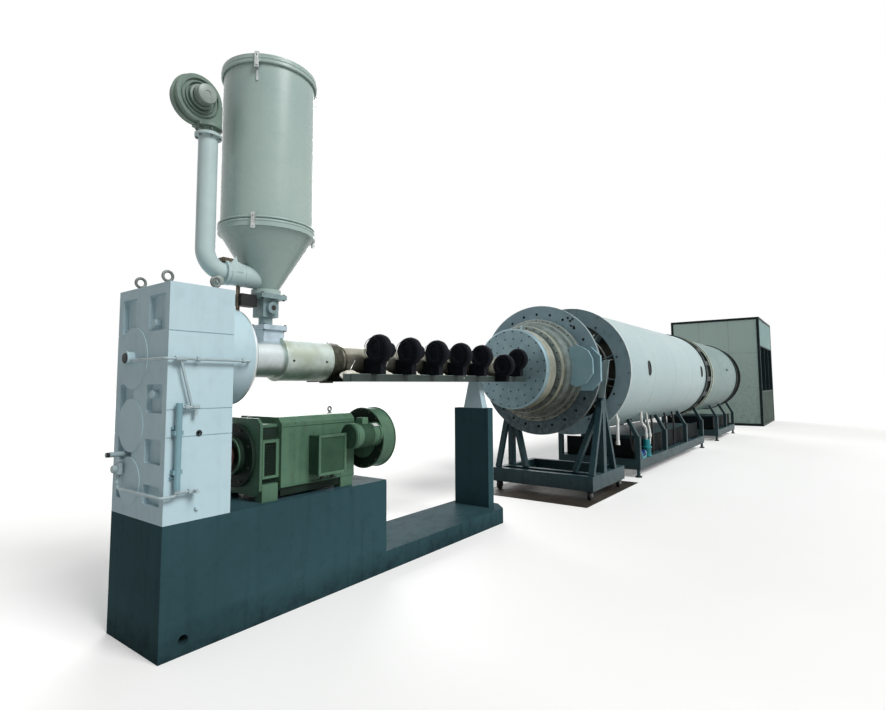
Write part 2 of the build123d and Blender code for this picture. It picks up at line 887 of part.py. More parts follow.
def trolley():
    """Die trolley: channel frame on wheels, triangular posts and the cradle under the outlet."""
    low = floor_plate_thickness + 2 * wheel_radius
    high = low + channel_height
    front = trolley_rear + trolley_length
    half = trolley_half_width
    frame = both_sides(block((trolley_rear, front), (-half, -half + channel_width), (low, high)))
    for x in (trolley_rear, post_place - cross_member_back, front - channel_width):
        frame += block((x, x + channel_width), (-half, half), (low, high))
    parts["trolley_frame"] = frame

    y = -half + channel_width / 2
    side = (y - post_depth / 2, y + post_depth / 2)
    post = block((post_place - post_width / 2, post_place + post_width / 2), side, (high, post_top))
    for way in (-1, 1):
        foot = (post_place + way * leg_spread, y, high)
        head = (post_place + way * leg_gather, y, post_top - leg_width)
        post += bar(foot, head, leg_width, post_depth)
    brace_x = post_place - cross_member_back + channel_width / 2
    brace_foot = (brace_x, -0.5 * half, high)
    brace_head = (brace_x + 0.8 * cross_member_back, y, post_top - leg_width)
    post += bar(brace_foot, brace_head, brace_width, leg_width)
    post = post - block((trolley_rear, front), (-half * 1.2, 0), (0, high))
    gusset = Polyline(
        (post_place - gusset_half, post_top - gusset_height),
        (post_place + gusset_half, post_top - gusset_height),
        (post_place + leg_gather + leg_width, post_top),
        (post_place - leg_gather - leg_width, post_top),
        close=True,
    )
    post += extrude(Plane.XZ.offset(-side[0]) * make_face(gusset), -gusset_sheet)
    parts["trolley_posts"] = both_sides(post)

    carrier_x = (post_place - carrier_thickness / 2, post_place + carrier_thickness / 2)
    carrier = disc(carrier_x, carrier_radius)
    carrier += block(carrier_x, (-half, half), (line_height - cradle_depth, line_height + cradle_rise))
    plate = Polyline(
        (post_place - cradle_foot, post_top),
        (post_place + cradle_foot, post_top),
        (post_place + cradle_foot, line_height - cradle_drop),
        (post_place - cradle_head, line_height - cradle_drop),
        close=True,
    )
    plate = extrude(Plane.XZ.offset(half) * make_face(plate), -cradle_width)
    carrier += both_sides(plate)
    carrier -= disc(carrier_x, outlet_outer + clearance)
    parts["die_carrier"] = carrier

    wheels = []
    for x in (trolley_rear + wheel_inset, front - wheel_inset):
        for side in (-1, 1):
            wheel = Pos(x, side * (half - wheel_inset), floor_plate_thickness + wheel_radius)
            tyre = wheel * Rot(90, 0, 0) * Cylinder(wheel_radius, wheel_width)
            middle = side * (half - wheel_inset)
            fork = block(
                (x - fork_half, x + fork_half), (middle - fork_half, middle + fork_half), (low - fork_lap, low)
            )
            wheels.append(tyre + fork)
    parts["trolley_wheels"] = Compound(children=wheels)
    parts["floor_plate"] = block(
        (trolley_rear - floor_plate_margin[0], front + floor_plate_margin[1]),
        (-half - floor_plate_side, half + floor_plate_side),
        (0, floor_plate_thickness),
    )


def tank_shell(rear, front):
    """Rolled shell of a tank, open at both ends."""
    return disc((rear, front), tank_radius, bore=tank_radius - tank_wall)


def sizing_tank():
    """Vacuum sizing tank: shell, drilled end rings and the sizing sleeve on its bulkhead."""
    ring = (tank_1_rear, tank_1_rear + ring_thickness)
    parts["tank_1_front_ring"] = disc(ring, ring_radius, bore=ring_bore)
    parts["tank_1_shell"] = tank_shell(ring[1], tank_1_front - ring_thickness)
    end = disc((tank_1_front - ring_thickness, tank_1_front), ring_radius, bore=ring_bore)
    end += disc((tank_1_front, neck_front), neck_radius, bore=ring_bore)
    end += disc((neck_front - neck_flange, neck_front), tank_radius, bore=ring_bore)
    parts["tank_1_rear_ring"] = end
    start = tank_1_rear - sleeve_lead
    outer = sleeve_bore + sleeve_wall
    bulkhead = tank_1_rear + bulkhead_recess
    parts["sizing_sleeve"] = turned(
        [
            (start, sleeve_bore),
            (start + sleeve_length, sleeve_bore),
            (start + sleeve_length, outer),
            (bulkhead + 30, outer),
            (bulkhead + 30, tank_radius - tank_wall - clearance),
            (bulkhead, tank_radius - tank_wall - clearance),
            (bulkhead, outer),
            (start, outer),
        ]
    )


def cooling_tank():
    """Spray cooling tank: shell, end rings and the hoop of clamping blocks at its outlet."""
    ring = (tank_2_rear, tank_2_rear + ring_thickness)
    parts["tank_2_front_ring"] = disc(ring, ring_radius, bore=ring_bore)
    parts["tank_2_shell"] = tank_shell(ring[1], tank_2_front - ring_thickness)
    end = disc((tank_2_front - ring_thickness, tank_2_front), ring_radius, bore=ring_bore)
    hoop_front = tank_2_front + hoop_length
    hoop_rear = hoop_front - hoop_thickness
    end += disc((hoop_rear, hoop_front), tank_radius, bore=ring_bore)
    turn = 360 / clamp_blocks
    for number in range(int(clamp_blocks)):
        lug = block(
            (tank_2_front, hoop_rear), (clamp_inner, clamp_outer), (-clamp_width / 2, clamp_width / 2)
        )
        end += Pos(0, 0, line_height) * Rot((number + 0.5) * turn, 0, 0) * lug
    parts["tank_2_rear_ring"] = end


def tank_frame(posts):
    """Welded frame under a tank: rails, cross-members, posts, leaning struts and feet."""
    rear = posts[0] - frame_post_width / 2
    front = posts[-1] + frame_post_width / 2
    half = frame_half_width
    top = frame_rail_low + frame_rail_height
    side = block((rear, front), (-half, -half + frame_rail_width), (frame_rail_low, top))
    for x in posts:
        grip = (x - frame_post_width / 2, x + frame_post_width / 2)
        side += block(grip, (-half, -half + frame_rail_width), (top, frame_post_top))
        lean = (x, -half + frame_rail_width / 2, frame_post_top - strut_width / 2)
        side += bar(lean, (x, -strut_reach, frame_post_top + strut_rise), frame_post_width, strut_width)
    side -= disc((rear - frame_post_width, front + frame_post_width), tank_radius + clearance)
    frame = both_sides(side)
    inner = half - frame_rail_width - basin_side
    frame += block((posts[0] + basin_end, posts[-1] - basin_end), (-inner, inner), (frame_rail_low, basin_top))
    for x in posts:
        grip = (x - frame_post_width / 2, x + frame_post_width / 2)
        frame += block(grip, (-half, half), (frame_rail_low, top))
    for x in (posts[0], posts[-1]):
        for y in (-half + foot_inset, half - foot_inset):
            frame += upright(foot_radius * 0.5, x, y, (foot_height, frame_rail_low))
            frame += upright(foot_radius, x, y, (0, foot_height))
    return frame


def tank_frames():
    """Frames of both tanks."""
    last = neck_front - neck_flange / 2
    spacing = (last - tank_1_post) / 3
    parts["tank_1_frame"] = tank_frame([tank_1_post + number * spacing for number in range(4)])
    last = tank_2_front + hoop_length - hoop_thickness / 2
    middle = (tank_2_post + last) / 2
    parts["tank_2_frame"] = tank_frame([tank_2_post, middle, last])


def pump_sets():
    """Vacuum and water pumps in the sizing tank's frame."""
    top = frame_rail_low + frame_rail_height
    x, y = water_pump_place
    pump = upright(water_pump_radius, x, y, (top, top + water_pump_height))
    pump += upright(water_pump_flange, x, y, (top, top + pump_flange_thickness))
    middle = top + water_pump_height / 2
    pump += upright(water_pump_flange, x, y, (middle, middle + pump_flange_thickness))
    x, y = vacuum_pump_place
    axis = top + vacuum_pump_radius + pump_flange_thickness
    vacuum = rod((x, x + vacuum_pump_length), vacuum_pump_radius, y, axis)
    vacuum += block(
        (x + pump_flange_thickness, x + vacuum_pump_length - pump_flange_thickness),
        (y - vacuum_pump_radius, y + vacuum_pump_radius),
        (top, axis),
    )
    parts["tank_pumps"] = Compound(children=[pump, vacuum])


def enclosure():
    """Delivery-end enclosure: edge profiles with sheet panels and a window in the near side."""
    x = (cabinet_rear, cabinet_rear + cabinet_length)
    y = (cabinet_near, cabinet_far)
    z = (0, cabinet_height)
    p = cabinet_profile
    frame = block(x, y, z)
    frame -= block((x[0] - 1, x[1] + 1), (y[0] + p, y[1] - p), (z[0] + p, z[1] - p))
    frame -= block((x[0] + p, x[1] - p), (y[0] - 1, y[1] + 1), (z[0] + p, z[1] - p))
    frame -= block((x[0] + p, x[1] - p), (y[0] + p, y[1] - p), (z[0] - 1, z[1] + 1))
    parts["cabinet_frame"] = frame
    inside_y = (y[0] + p, y[1] - p)
    inside_z = (z[0] + p, z[1] - p)
    inside_x = (x[0] + p, x[1] - p)
    a, b = cabinet_inset, cabinet_inset + cabinet_panel
    panels = [
        block((x[0] + a, x[0] + b), inside_y, inside_z),
        block((x[1] - b, x[1] - a), inside_y, inside_z),
        block(inside_x, (y[1] - b, y[1] - a), inside_z),
        block(inside_x, inside_y, (z[1] - b, z[1] - a)),
    ]
    near = block(inside_x, (y[0] + a, y[0] + b), inside_z)
    hole = block((x[0] + p + window_side, x[1] - p - window_side), (y[0], y[0] + p), (window_low, window_high))
    panels.append(near - hole)
    parts["cabinet_panels"] = Compound(children=panels)
    parts["cabinet_window"] = block(
        (x[0] + p + window_side, x[1] - p - window_side), (y[0] + a, y[0] + b), (window_low, window_high)
    )


extruder_base()
base_plinth()
barrel_pillar()
gearbox()
oil_system()
drive_motor()
barrel()
tray_and_fans()
hopper()
hot_air()
die()
trolley()
sizing_tank()
cooling_tank()
tank_frames()
pump_sets()
enclosure()

os.makedirs("parts", exist_ok=True)
for name, shape in parts.items():
    export_step(shape, f"parts/{name}.step")
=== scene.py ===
import math
import bmesh
import bpy
import numpy as np
from mathutils import Matrix, Vector


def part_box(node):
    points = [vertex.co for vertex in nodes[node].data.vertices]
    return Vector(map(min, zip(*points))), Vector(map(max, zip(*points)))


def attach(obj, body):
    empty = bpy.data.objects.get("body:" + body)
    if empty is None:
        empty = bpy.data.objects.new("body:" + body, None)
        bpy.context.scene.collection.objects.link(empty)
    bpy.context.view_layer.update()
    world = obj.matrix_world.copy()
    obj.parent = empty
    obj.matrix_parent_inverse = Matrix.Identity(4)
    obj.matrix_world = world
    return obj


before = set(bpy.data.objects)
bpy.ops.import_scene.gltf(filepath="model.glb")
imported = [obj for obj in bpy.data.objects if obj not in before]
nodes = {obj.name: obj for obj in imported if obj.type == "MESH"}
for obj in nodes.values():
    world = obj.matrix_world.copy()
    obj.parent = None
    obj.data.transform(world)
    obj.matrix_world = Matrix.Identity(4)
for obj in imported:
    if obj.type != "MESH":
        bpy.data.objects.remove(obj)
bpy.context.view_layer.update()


# Camera: a person's eye height, 1.6 m, near the gearbox end, turned down the line.
# The small shift is the photograph's own crop.
def placed(name, data):
    """A new object of this data, linked into the scene."""
    made_object = bpy.data.objects.new(name, data)
    bpy.context.collection.objects.link(made_object)
    return made_object


yaw, pitch, roll = math.radians(36.674), math.radians(4.338), math.radians(-0.2945)
ahead = Vector((math.cos(yaw) * math.cos(pitch), math.sin(yaw) * math.cos(pitch), math.sin(pitch)))
right = Vector((math.sin(yaw), -math.cos(yaw), 0.0))
up = right.cross(ahead)
camera_right = right * math.cos(roll) + up * math.sin(roll)
camera_up = up * math.cos(roll) - right * math.sin(roll)
camera_data = bpy.data.cameras.new("camera")
camera_data.sensor_width = 36.0  # millimetres, like the lens
camera_data.lens = 21.588
camera_data.shift_x = -0.00165
camera_data.shift_y = -0.01191
camera_data.clip_end = 200.0
camera = placed("camera", camera_data)
turn = Matrix((camera_right, camera_up, -ahead)).transposed()
camera.matrix_world = Matrix.Translation((-2.4979, -3.5685, 1.6)) @ turn.to_4x4()
bpy.context.scene.camera = camera


# Daylight of a hall: a broad soft sun from the walkway's side and above, a weaker one from the
# far side, and an even sky. Camera, mirror and glass rays see the sky as plain white.
def linear(code):
    """Linear RGBA of an sRGB hex colour."""
    part = [int(code[i:i + 2], 16) / 255 for i in (1, 3, 5)]
    return [c / 12.92 if c <= 0.04045 else ((c + 0.055) / 1.055) ** 2.4 for c in part] + [1.0]


def feed(tree, node, inputs):
    """Sets a node's inputs by name or number, or links them where the value is another node's output."""
    for key, value in inputs.items():
        if isinstance(value, bpy.types.NodeSocket):
            tree.links.new(value, node.inputs[key])
        else:
            node.inputs[key].default_value = value


def add(tree, kind, inputs, output=0, **settings):
    """Adds one shader node with its inputs and settings, and gives back one of its outputs."""
    node = tree.nodes.new("ShaderNode" + kind)
    for key, value in settings.items():
        setattr(node, key, value)
    feed(tree, node, inputs)
    return node.outputs[output] if node.outputs else node


def ranged(tree, value, low=0.0, high=1.0, to_low=0.0, to_high=1.0):
    """The value's stretch from low to high, laid on the stretch from to_low to to_high."""
    inputs = {"Value": value, "From Min": low, "From Max": high, "To Min": to_low, "To Max": to_high}
    return add(tree, "MapRange", inputs)


def sums(tree, kind, *terms):
    """The terms put together by one operation, such as ADD or MULTIPLY."""
    return add(tree, "Math", dict(enumerate(terms)), operation=kind)


for name, energy, spread, source in (
    ("daylight", 2.8, 28, (0.02, -0.72, 0.69)),
    ("far windows", 1.3, 35, (0.60, 0.70, 0.38)),
):
    sun_data = bpy.data.lights.new(name, "SUN")
    sun_data.energy = energy
    sun_data.angle = math.radians(spread)
    placed(name, sun_data).rotation_euler = Vector(source).to_track_quat("Z", "Y").to_euler()
bpy.context.scene.view_settings.view_transform = "Standard"
world = bpy.data.worlds.new("hall sky")
world.use_nodes = True
bpy.context.scene.world = world
sky = world.node_tree
sky.nodes.clear()
rays = add(sky, "LightPath", {}).node.outputs
seen = sums(sky, "MAXIMUM", rays["Is Camera Ray"], rays["Is Glossy Ray"])
seen = sums(sky, "MAXIMUM", seen, rays["Is Transmission Ray"])
level = ranged(sky, seen, to_low=0.22)
glow = add(sky, "Background", {"Color": linear("#FFFFFF"), "Strength": level})
add(sky, "OutputWorld", {"Surface": glow})


# Floor: a plain pale sealed concrete screed, level at the machine's feet.
# What the camera, mirrors and glass see of it is lifted a little towards the white sky.
def noise(tree, place, scale, detail, rough=0.5):
    """Cloud noise at a place; its patches are about one over scale across."""
    inputs = {"Vector": place, "Scale": scale, "Detail": detail, "Roughness": rough}
    return add(tree, "TexNoise", inputs, "Fac")


def mix(tree, share, first, second):
    """The first colour where share is 0 and the second where it is 1."""
    return add(tree, "Mix", {0: share, 6: first, 7: second}, 2, data_type="RGBA")


def surface(name):
    """A new material, its node tree, its shader and the Object coordinates of its surface."""
    made = bpy.data.materials.new(name)
    made.use_nodes = True
    tree = made.node_tree
    return made, tree, tree.nodes["Principled BSDF"], add(tree, "TexCoord", {}, "Object")


floor_mesh = bpy.data.meshes.new("floor")
reach = 120.0
corners = [(-reach, -reach, 0), (reach, -reach, 0), (reach, reach, 0), (-reach, reach, 0)]
floor_mesh.from_pydata(corners, [], [(0, 1, 2, 3)])
floor = placed("floor", floor_mesh)

screed, tree, shader, place = surface("sealed concrete floor")
tone = mix(tree, noise(tree, place, 0.6, 5.0), linear("#EDEDEB"), linear("#F4F4F3"))
rays = add(tree, "LightPath", {}).node.outputs
seen = sums(tree, "MAXIMUM", rays["Is Camera Ray"], rays["Is Glossy Ray"])
shown = mix(tree, seen, linear("#B4B4B2"), tone)
lift = ranged(tree, seen, to_high=0.16)
look = {"Base Color": shown, "Roughness": 0.75, "Emission Color": linear("#FFFFFF")}
feed(tree, shader, look | {"Emission Strength": lift})
floor_mesh.materials.append(screed)


# Extruder base, its low plinth and the pillar under the barrel: welded steel plate.
# Brushed and sprayed with dark teal machine enamel, satin, with run marks and scuffed feet.
def enamel(
    name, coat, patch, grime, rough=0.4, dirt=0.3, foot=0.0, run=0.0, grain=0.5, peel=0.1, shine=0.3,
    metal=0.0,
):
    """Enamel on metal: shade patches of size grain, speckled grime, and marks that run down.

    Grime thickens below the height foot, in metres; dirt and run are its share elsewhere, and
    shine is how strongly the coat mirrors. Plated metal has the same marks, with metal above 0."""
    made, tree, shader, place = surface(name)
    broad = ranged(tree, noise(tree, place, 1 / grain, 4.0), 0.36, 0.64)
    colour = mix(tree, broad, linear(coat), linear(patch))
    speck = noise(tree, place, 9.0, 10.0, 0.7)
    amount = ranged(tree, speck, 0.5, 0.8, to_high=dirt)
    if run:
        thin = add(tree, "Mapping", {"Vector": place, "Scale": (14.0, 14.0, 0.9)})
        marks = ranged(tree, noise(tree, thin, 1.0, 5.0), 0.52, 0.75, to_high=run)
        amount = sums(tree, "ADD", amount, marks)
    if foot:
        height = add(tree, "SeparateXYZ", {0: place}, "Z")
        amount = sums(tree, "MULTIPLY_ADD", ranged(tree, height, foot, 0.0), speck, amount)
    share = add(tree, "Clamp", {"Value": amount})
    stained = mix(tree, share, colour, linear(grime))
    gloss = ranged(tree, speck, 0.3, 0.7, rough - 0.06, rough + 0.1)
    skin = noise(tree, place, 110.0, 2.0)
    bump = add(tree, "Bump", {"Height": skin, "Strength": peel, "Distance": 0.002})
    look = {"Base Color": stained, "Roughness": gloss, "Specular IOR Level": shine, "Metallic": metal}
    feed(tree, shader, look | {"Normal": bump})
    return made


def give(made, *names):
    """The CAD nodes of these names get this material."""
    for name in names:
        for slot in nodes[name].material_slots:
            slot.material = made


machine_enamel = enamel(
    "dark teal machine enamel", "#304A50", "#355157", "#12191A",
    rough=0.40, dirt=0.25, foot=0.22, run=0.18, grain=0.9, shine=0.004,
)
give(machine_enamel, "extruder_base", "base_plinth", "barrel_pillar")


# Weld beads: the base's plates are joined by a run of weld along the near upright corners.
# A bead is a low round ridge 8 mm wide, under the same enamel.
def quads(rows, columns):
    """Corner numbers of a grid's quads; the last column meets the first."""
    r = np.arange(rows - 1)[:, None]
    c = np.arange(columns)[None, :]
    n = (c + 1) % columns
    near, far = r * columns, (r + 1) * columns
    return np.stack([near + c, near + n, far + n, far + c], -1).reshape(-1, 4)


def lathe(profile, centre=(0, 0, 0), axis="X", steps=32):
    """Each point (along, radius) of the profile goes round a line through centre along the axis."""
    along, radius = np.array(profile, float).T
    turn = np.linspace(0, 2 * math.pi, steps, endpoint=False) + math.pi / steps
    first, second = radius[:, None] * np.cos(turn), radius[:, None] * np.sin(turn)
    line = along[:, None] + 0 * turn
    order = {"X": (line, first, second), "Y": (first, line, second), "Z": (first, second, line)}[axis]
    return np.stack(order, -1).reshape(-1, 3) + np.array(centre), quads(len(along), steps)


def stud(low, high, radius, centre=(0, 0, 0), axis="X", steps=6):
    """A bar along the axis from low to high, with flat ends. Six steps make a hexagon."""
    return lathe([(low, 0), (low, radius), (high, radius), (high, 0)], centre, axis, steps)


def copies(shape, places):
    """The same shape moved to every place, as one list of points and one of faces."""
    points, faces = shape
    places = np.array(places, float).reshape(-1, 3)
    moved = (places[:, None, :] + points[None, :, :]).reshape(-1, 3)
    sides = np.arange(len(places))[:, None, None] * len(points) + faces[None]
    return moved, sides.reshape(-1, faces.shape[1])


def piece(name, shapes, made, bevel=0.0):
    """One object of several shapes: corners of a shape that meet are one, and faces point outward.

    It is smooth but for its edges, rides on the line's one body and is painted with made."""
    points, faces, count = [], [], 0
    for corners, sides in shapes:
        kept, back = np.unique(np.round(corners, 6), axis=0, return_inverse=True)
        points.append(kept)
        faces += [list(dict.fromkeys(side)) for side in (back.reshape(-1)[sides] + count).tolist()]
        count += len(kept)
    mesh = bpy.data.meshes.new(name)
    mesh.from_pydata(np.concatenate(points).tolist(), [], [face for face in faces if len(face) > 2])
    form = bmesh.new()
    form.from_mesh(mesh)
    bmesh.ops.recalc_face_normals(form, faces=form.faces)
    form.to_mesh(mesh)
    form.free()
    mesh.polygons.foreach_set("use_smooth", [True] * len(mesh.polygons))
    mesh.set_sharp_from_angle(angle=math.radians(35))
    mesh.materials.append(made)
    made_object = placed(name, mesh)
    if bevel:
        rounded = made_object.modifiers.new("soft edges", "BEVEL")
        rounded.width = bevel
        rounded.segments = 2
        rounded.limit_method = "ANGLE"
        rounded.harden_normals = True
    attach(made_object, "root")
    return made_object


low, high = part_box("extruder_base")
bead_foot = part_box("base_plinth")[1].z + 0.01
bead = stud(0, high.z - bead_foot - 0.02, 0.004, axis="Z", steps=8)
seams = [(high.x - 0.001, low.y + 0.002, bead_foot), (low.x + 0.002, low.y + 0.002, bead_foot)]
piece("base_weld_beads", [copies(bead, seams)], machine_enamel)

# Gearbox: a cast iron case of two halves, machined, sprayed pale blue-grey enamel.
# The enamel is satin and fairly clean; the cored pockets on the rear face hold a little grey dust.
casting_enamel = enamel(
    "pale blue-grey casting enamel", "#B4CCD4", "#BAD1D8", "#7B9097",
    rough=0.42, dirt=0.18, run=0.10, grain=1.2, peel=0.16, shine=0.03,
)
give(casting_enamel, "gearbox_housing", "gearbox_flange", "barrel_pedestal")
axis_z = 1.81  # height of the whole line's axis
rear = -0.94
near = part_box("gearbox_housing")[0].y

# Black caps, matt like moulded nitrile rubber, with a rounded rim, on the bearing plug and the pump's end.
# The bearing plug's black disc is painted shade: it stands for a dark hole.
cap_rubber = enamel("black nitrile rubber", "#141516", "#1C1D1E", "#2C2C2B", rough=0.6, dirt=0.3, peel=0.2)
plug_hole_shade = [(-0.058, 0), (-0.058, 0.030), (-0.054, 0.034), (-0.046, 0.034), (-0.046, 0.0)]
pump_rim = [(-0.1095, 0.010), (-0.1095, 0.0135), (-0.106, 0.0155), (-0.090, 0.0155), (-0.090, 0.010)]
caps = [lathe(plug_hole_shade, (rear, 0.108, 1.78)), lathe(pump_rim, (rear, 0.19, 1.165), steps=20)]
piece("gearbox_caps_and_plug_hole_shade", caps, cap_rubber)


# Sight hole: a drilled and tapped hole in the near side, its bottom in oily shadow, with a thin washer.
# The drain plug low down is a cast hexagon with a rounded collar.
def hoop(low, high, inner, outer, centre=(0, 0, 0), axis="X", steps=36, shut=True):
    """A band of oblong section round the axis, from low to high. Where it isn't shut, it has no bore wall."""
    section = [(low, inner), (low, outer), (high, outer), (high, inner)]
    return lathe(section + section[:1] * shut, centre, axis, steps)


sight = (-0.734, near, 1.308)
washer = hoop(-0.0035, 0.001, 0.012, 0.019, sight, "Y", 24)
piece("gearbox_sight_hole", [washer, stud(0.02, 0.024, 0.0138, sight, "Y", 24)], cap_rubber)
plug = [(-0.016, 0), (-0.016, 0.011), (-0.003, 0.016), (0.001, 0.016), (0.001, 0)]
drain = lathe(plug, (-0.739, near, 0.852), "Y", 6)
piece("gearbox_drain_plug", [drain], casting_enamel)


# Output flange: its cast cone ends in a bright machined face ring, where the barrel is drawn up.
# Turned steel, wiped with oil; a ring of blackened hexagon screws, 19 mm across, holds it.
# Painted shade: every turned steel darkens towards the bottom, partly oil and partly a stand-in for the dark
# lower side it would mirror.
def turned(name, bare, film, low_stain_and_shade, rough=0.34, clean=2.2, oily=1.2, share=0.8, patch=0.12, metal=0.9):
    """Turned steel: bare and filmed patches, fine rings square to X, and a darker colour towards the bottom.

    The low colour is partly oil stain and partly painted shade of the dark lower side; its share grows from
    nothing at height clean to its full share at height oily."""
    made, tree, shader, place = surface(name)
    broad = ranged(tree, noise(tree, place, 1 / patch, 6.0), 0.38, 0.62)
    colour = mix(tree, broad, linear(bare), linear(film))
    height = add(tree, "SeparateXYZ", {0: place}, "Z")
    stain_and_shade_by_height = ranged(tree, height, clean, oily, to_high=share)
    blots = ranged(tree, noise(tree, place, 14.0, 10.0, 0.65), 0.40, 0.80, to_high=0.5)
    both = sums(tree, "MULTIPLY", stain_and_shade_by_height, blots)
    even = sums(tree, "MULTIPLY", stain_and_shade_by_height, 0.7)
    amount = add(tree, "Clamp", {"Value": sums(tree, "ADD", both, even)})
    stained = mix(tree, amount, colour, linear(low_stain_and_shade))
    gloss = ranged(tree, amount, to_low=rough, to_high=rough + 0.18)
    rings = add(tree, "Mapping", {"Vector": place, "Scale": (160.0, 4.0, 4.0)})
    cut = noise(tree, rings, 1.0, 2.0)
    bump = add(tree, "Bump", {"Height": cut, "Strength": 0.12, "Distance": 0.001})
    feed(tree, shader, {"Base Color": stained, "Metallic": metal, "Roughness": gloss, "Normal": bump})
    return made


def bolt_ring(shape, x, radius, number, first=0.0, y=0.0, z=axis_z):
    """Copies of a shape at equal turns on a circle square to X; its centre is on the axis unless given."""
    turns = np.arange(number) * 2 * math.pi / number + first
    places = [0 * turns + x, y + radius * np.cos(turns), z + radius * np.sin(turns)]
    return copies(shape, np.stack(places, -1))


face_steel = turned(
    "machined flange steel", "#DDE6E8", "#CBD3D3", "#7A8078", clean=1.90, oily=1.55, share=0.5
)
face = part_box("gearbox_flange")[1].x - 0.004
ring_profile = [
    (-0.043, 0.335), (-0.043, 0.3465), (-0.030, 0.3465), (-0.004, 0.318), (0.008, 0.300),
    (0.012, 0.206), (0.014, 0.200), (0.014, 0.140), (0, 0.140), (-0.043, 0.335),
]
piece("flange_face_ring", [lathe(ring_profile, (face, 0, axis_z), steps=96)], face_steel)
oiled_bolts = enamel("blackened oiled bolts", "#23211E", "#2E2B27", "#0F0E0D", rough=0.42, dirt=0.4, peel=0.1)
head = lathe([(0.0, 0), (0.0, 0.011), (0.010, 0.011), (0.012, 0.009), (0.012, 0)], steps=6)
piece("barrel_flange_bolts", [bolt_ring(head, face + 0.013, 0.182, 12, 0.26)], oiled_bolts)

# Lifting eyes: drop-forged, zinc plated, dull grey with brown dust in the corners.
# Each is screwed into the top of the gearbox or the motor.
zinc = enamel(
    "dull zinc plate", "#777C7A", "#626765", "#3F3B33", rough=0.48, dirt=0.5, grain=0.1, metal=0.75
)
give(zinc, "lifting_eyes")

# Forced lubrication: thin steel pipe with screwed unions, painted like the case but handled and greyer.
# The level column beside the corner is darker blue, held by two clips.
pipe_enamel = enamel("worn pipe enamel", "#A9BBC0", "#98A9AD", "#5E6359", rough=0.36, dirt=0.55, grain=0.15)
give(pipe_enamel, "oil_pipes", "oil_pump")
column_enamel = enamel("blue column enamel", "#7397A1", "#7DA0A9", "#4C666E", rough=0.35, dirt=0.3, grain=0.2)
give(column_enamel, "oil_cooler")


def along(points, steps):
    """A smooth line through the points: each stretch is the cubic that carries on its neighbours' slopes."""
    points = np.array(points, float)
    ends = np.concatenate([2 * points[:1] - points[1:2], points, 2 * points[-1:] - points[-2:-1]])
    t = np.linspace(0, 1, steps, endpoint=False)[None, :, None]
    a, b, c, d = ends[:-3, None], ends[1:-2, None], ends[2:-1, None], ends[3:, None]
    line = 0.5 * (2 * b + (c - a) * t + (2 * a - 5 * b + 4 * c - d) * t**2 + (3 * b - a - 3 * c + d) * t**3)
    return np.concatenate([line.reshape(-1, 3), points[-1:]])


def tube(path, radius, side=(0, 0, 1), steps=12):
    """A circle of this radius carried square to the path, its two ends closed to a point."""
    path = np.array(path, float)
    ahead = np.gradient(path, axis=0)
    ahead /= np.linalg.norm(ahead, axis=1)[:, None]
    across = np.cross(ahead, np.array(side, float))
    across /= np.linalg.norm(across, axis=1)[:, None]
    over = np.cross(across, ahead)
    path, across, over = (np.concatenate([line[:1], line, line[-1:]]) for line in (path, across, over))
    size = np.full((len(path), 1, 1), float(radius))
    size[0] = size[-1] = 0
    turn = np.linspace(0, 2 * math.pi, steps, endpoint=False)[None, :, None]
    grid = path[:, None] + size * (np.cos(turn) * across[:, None] + np.sin(turn) * over[:, None])
    return grid.reshape(-1, 3), quads(len(path), steps)


out = near - 0.035
column = rear + 0.06
stem = rear - 0.034
supply, suction = 1.472, 0.967
tee = [(-0.034, 0.008), (-0.034, 0.017), (-0.020, 0.019), (0.020, 0.019), (0.034, 0.017), (0.034, 0.008)]
knob = [(-0.046, 0), (-0.046, 0.021), (-0.040, 0.025), (-0.020, 0.025), (-0.020, 0)]
nuts = [(column + 0.11, out, 1.766), (-0.46, out, 1.766), (-0.80, out, suction), (-0.835, out, supply)]
upright_nuts = [(stem, 0.19, 0.99), (stem, 0.19, 1.028), (stem, 0.19, 1.122), (column, out, 0.975)]
valves = [(-0.776, out, supply), (-0.776, out, suction)]
fittings = [
    copies(hoop(-0.011, 0.011, 0.008, 0.0165, steps=6, shut=False), nuts),
    copies(hoop(-0.011, 0.011, 0.008, 0.0165, axis="Z", steps=6, shut=False), upright_nuts),
    lathe(tee, (column, out, 1.766), "X", 8),
    copies(hoop(-0.020, 0.020, 0.008, 0.0145, steps=6, shut=False), valves),
    hoop(-0.035, 0.035, 0.008, 0.019, (stem, 0.168, 1.075), "Z", 8, shut=False),
    stud(-0.05, -0.018, 0.012, valves[0], "Z", 12),
    stud(-0.05, -0.018, 0.012, valves[1], "Y", 12),
    lathe(knob, (stem, 0.168, 1.075), "X", 16),
]
piece("oil_pipe_fittings", fittings, pipe_enamel, bevel=0.0012)


# Slide clips on the level column: bent strip with one screw each, the same blue.
# A screw head 13 mm across closes each strip on the case.
def box(low, high):
    """The eight corners between two opposite ones, and the six sides."""
    low, high = np.array(low, float), np.array(high, float)
    pick = np.array([[0, 0, 0], [1, 0, 0], [1, 1, 0], [0, 1, 0], [0, 0, 1], [1, 0, 1], [1, 1, 1], [0, 1, 1]])
    sides = [[0, 3, 2, 1], [4, 5, 6, 7], [0, 1, 5, 4], [1, 2, 6, 5], [2, 3, 7, 6], [3, 0, 4, 7]]
    return low + pick * (high - low), np.array(sides)


clip = box((-0.030, -0.004, 0), (0.030, 0.010, 0.020))
clip_places = np.array([(column, near - 0.010, z) for z in (1.046, 1.338)])
screw = lathe([(-0.011, 0), (-0.011, 0.005), (-0.006, 0.0065), (0, 0.0065)], axis="Y", steps=12)
clips = [copies(clip, clip_places), copies(screw, clip_places + (-0.022, 0, 0.01))]
piece("level_column_clips", clips, column_enamel, bevel=0.001)

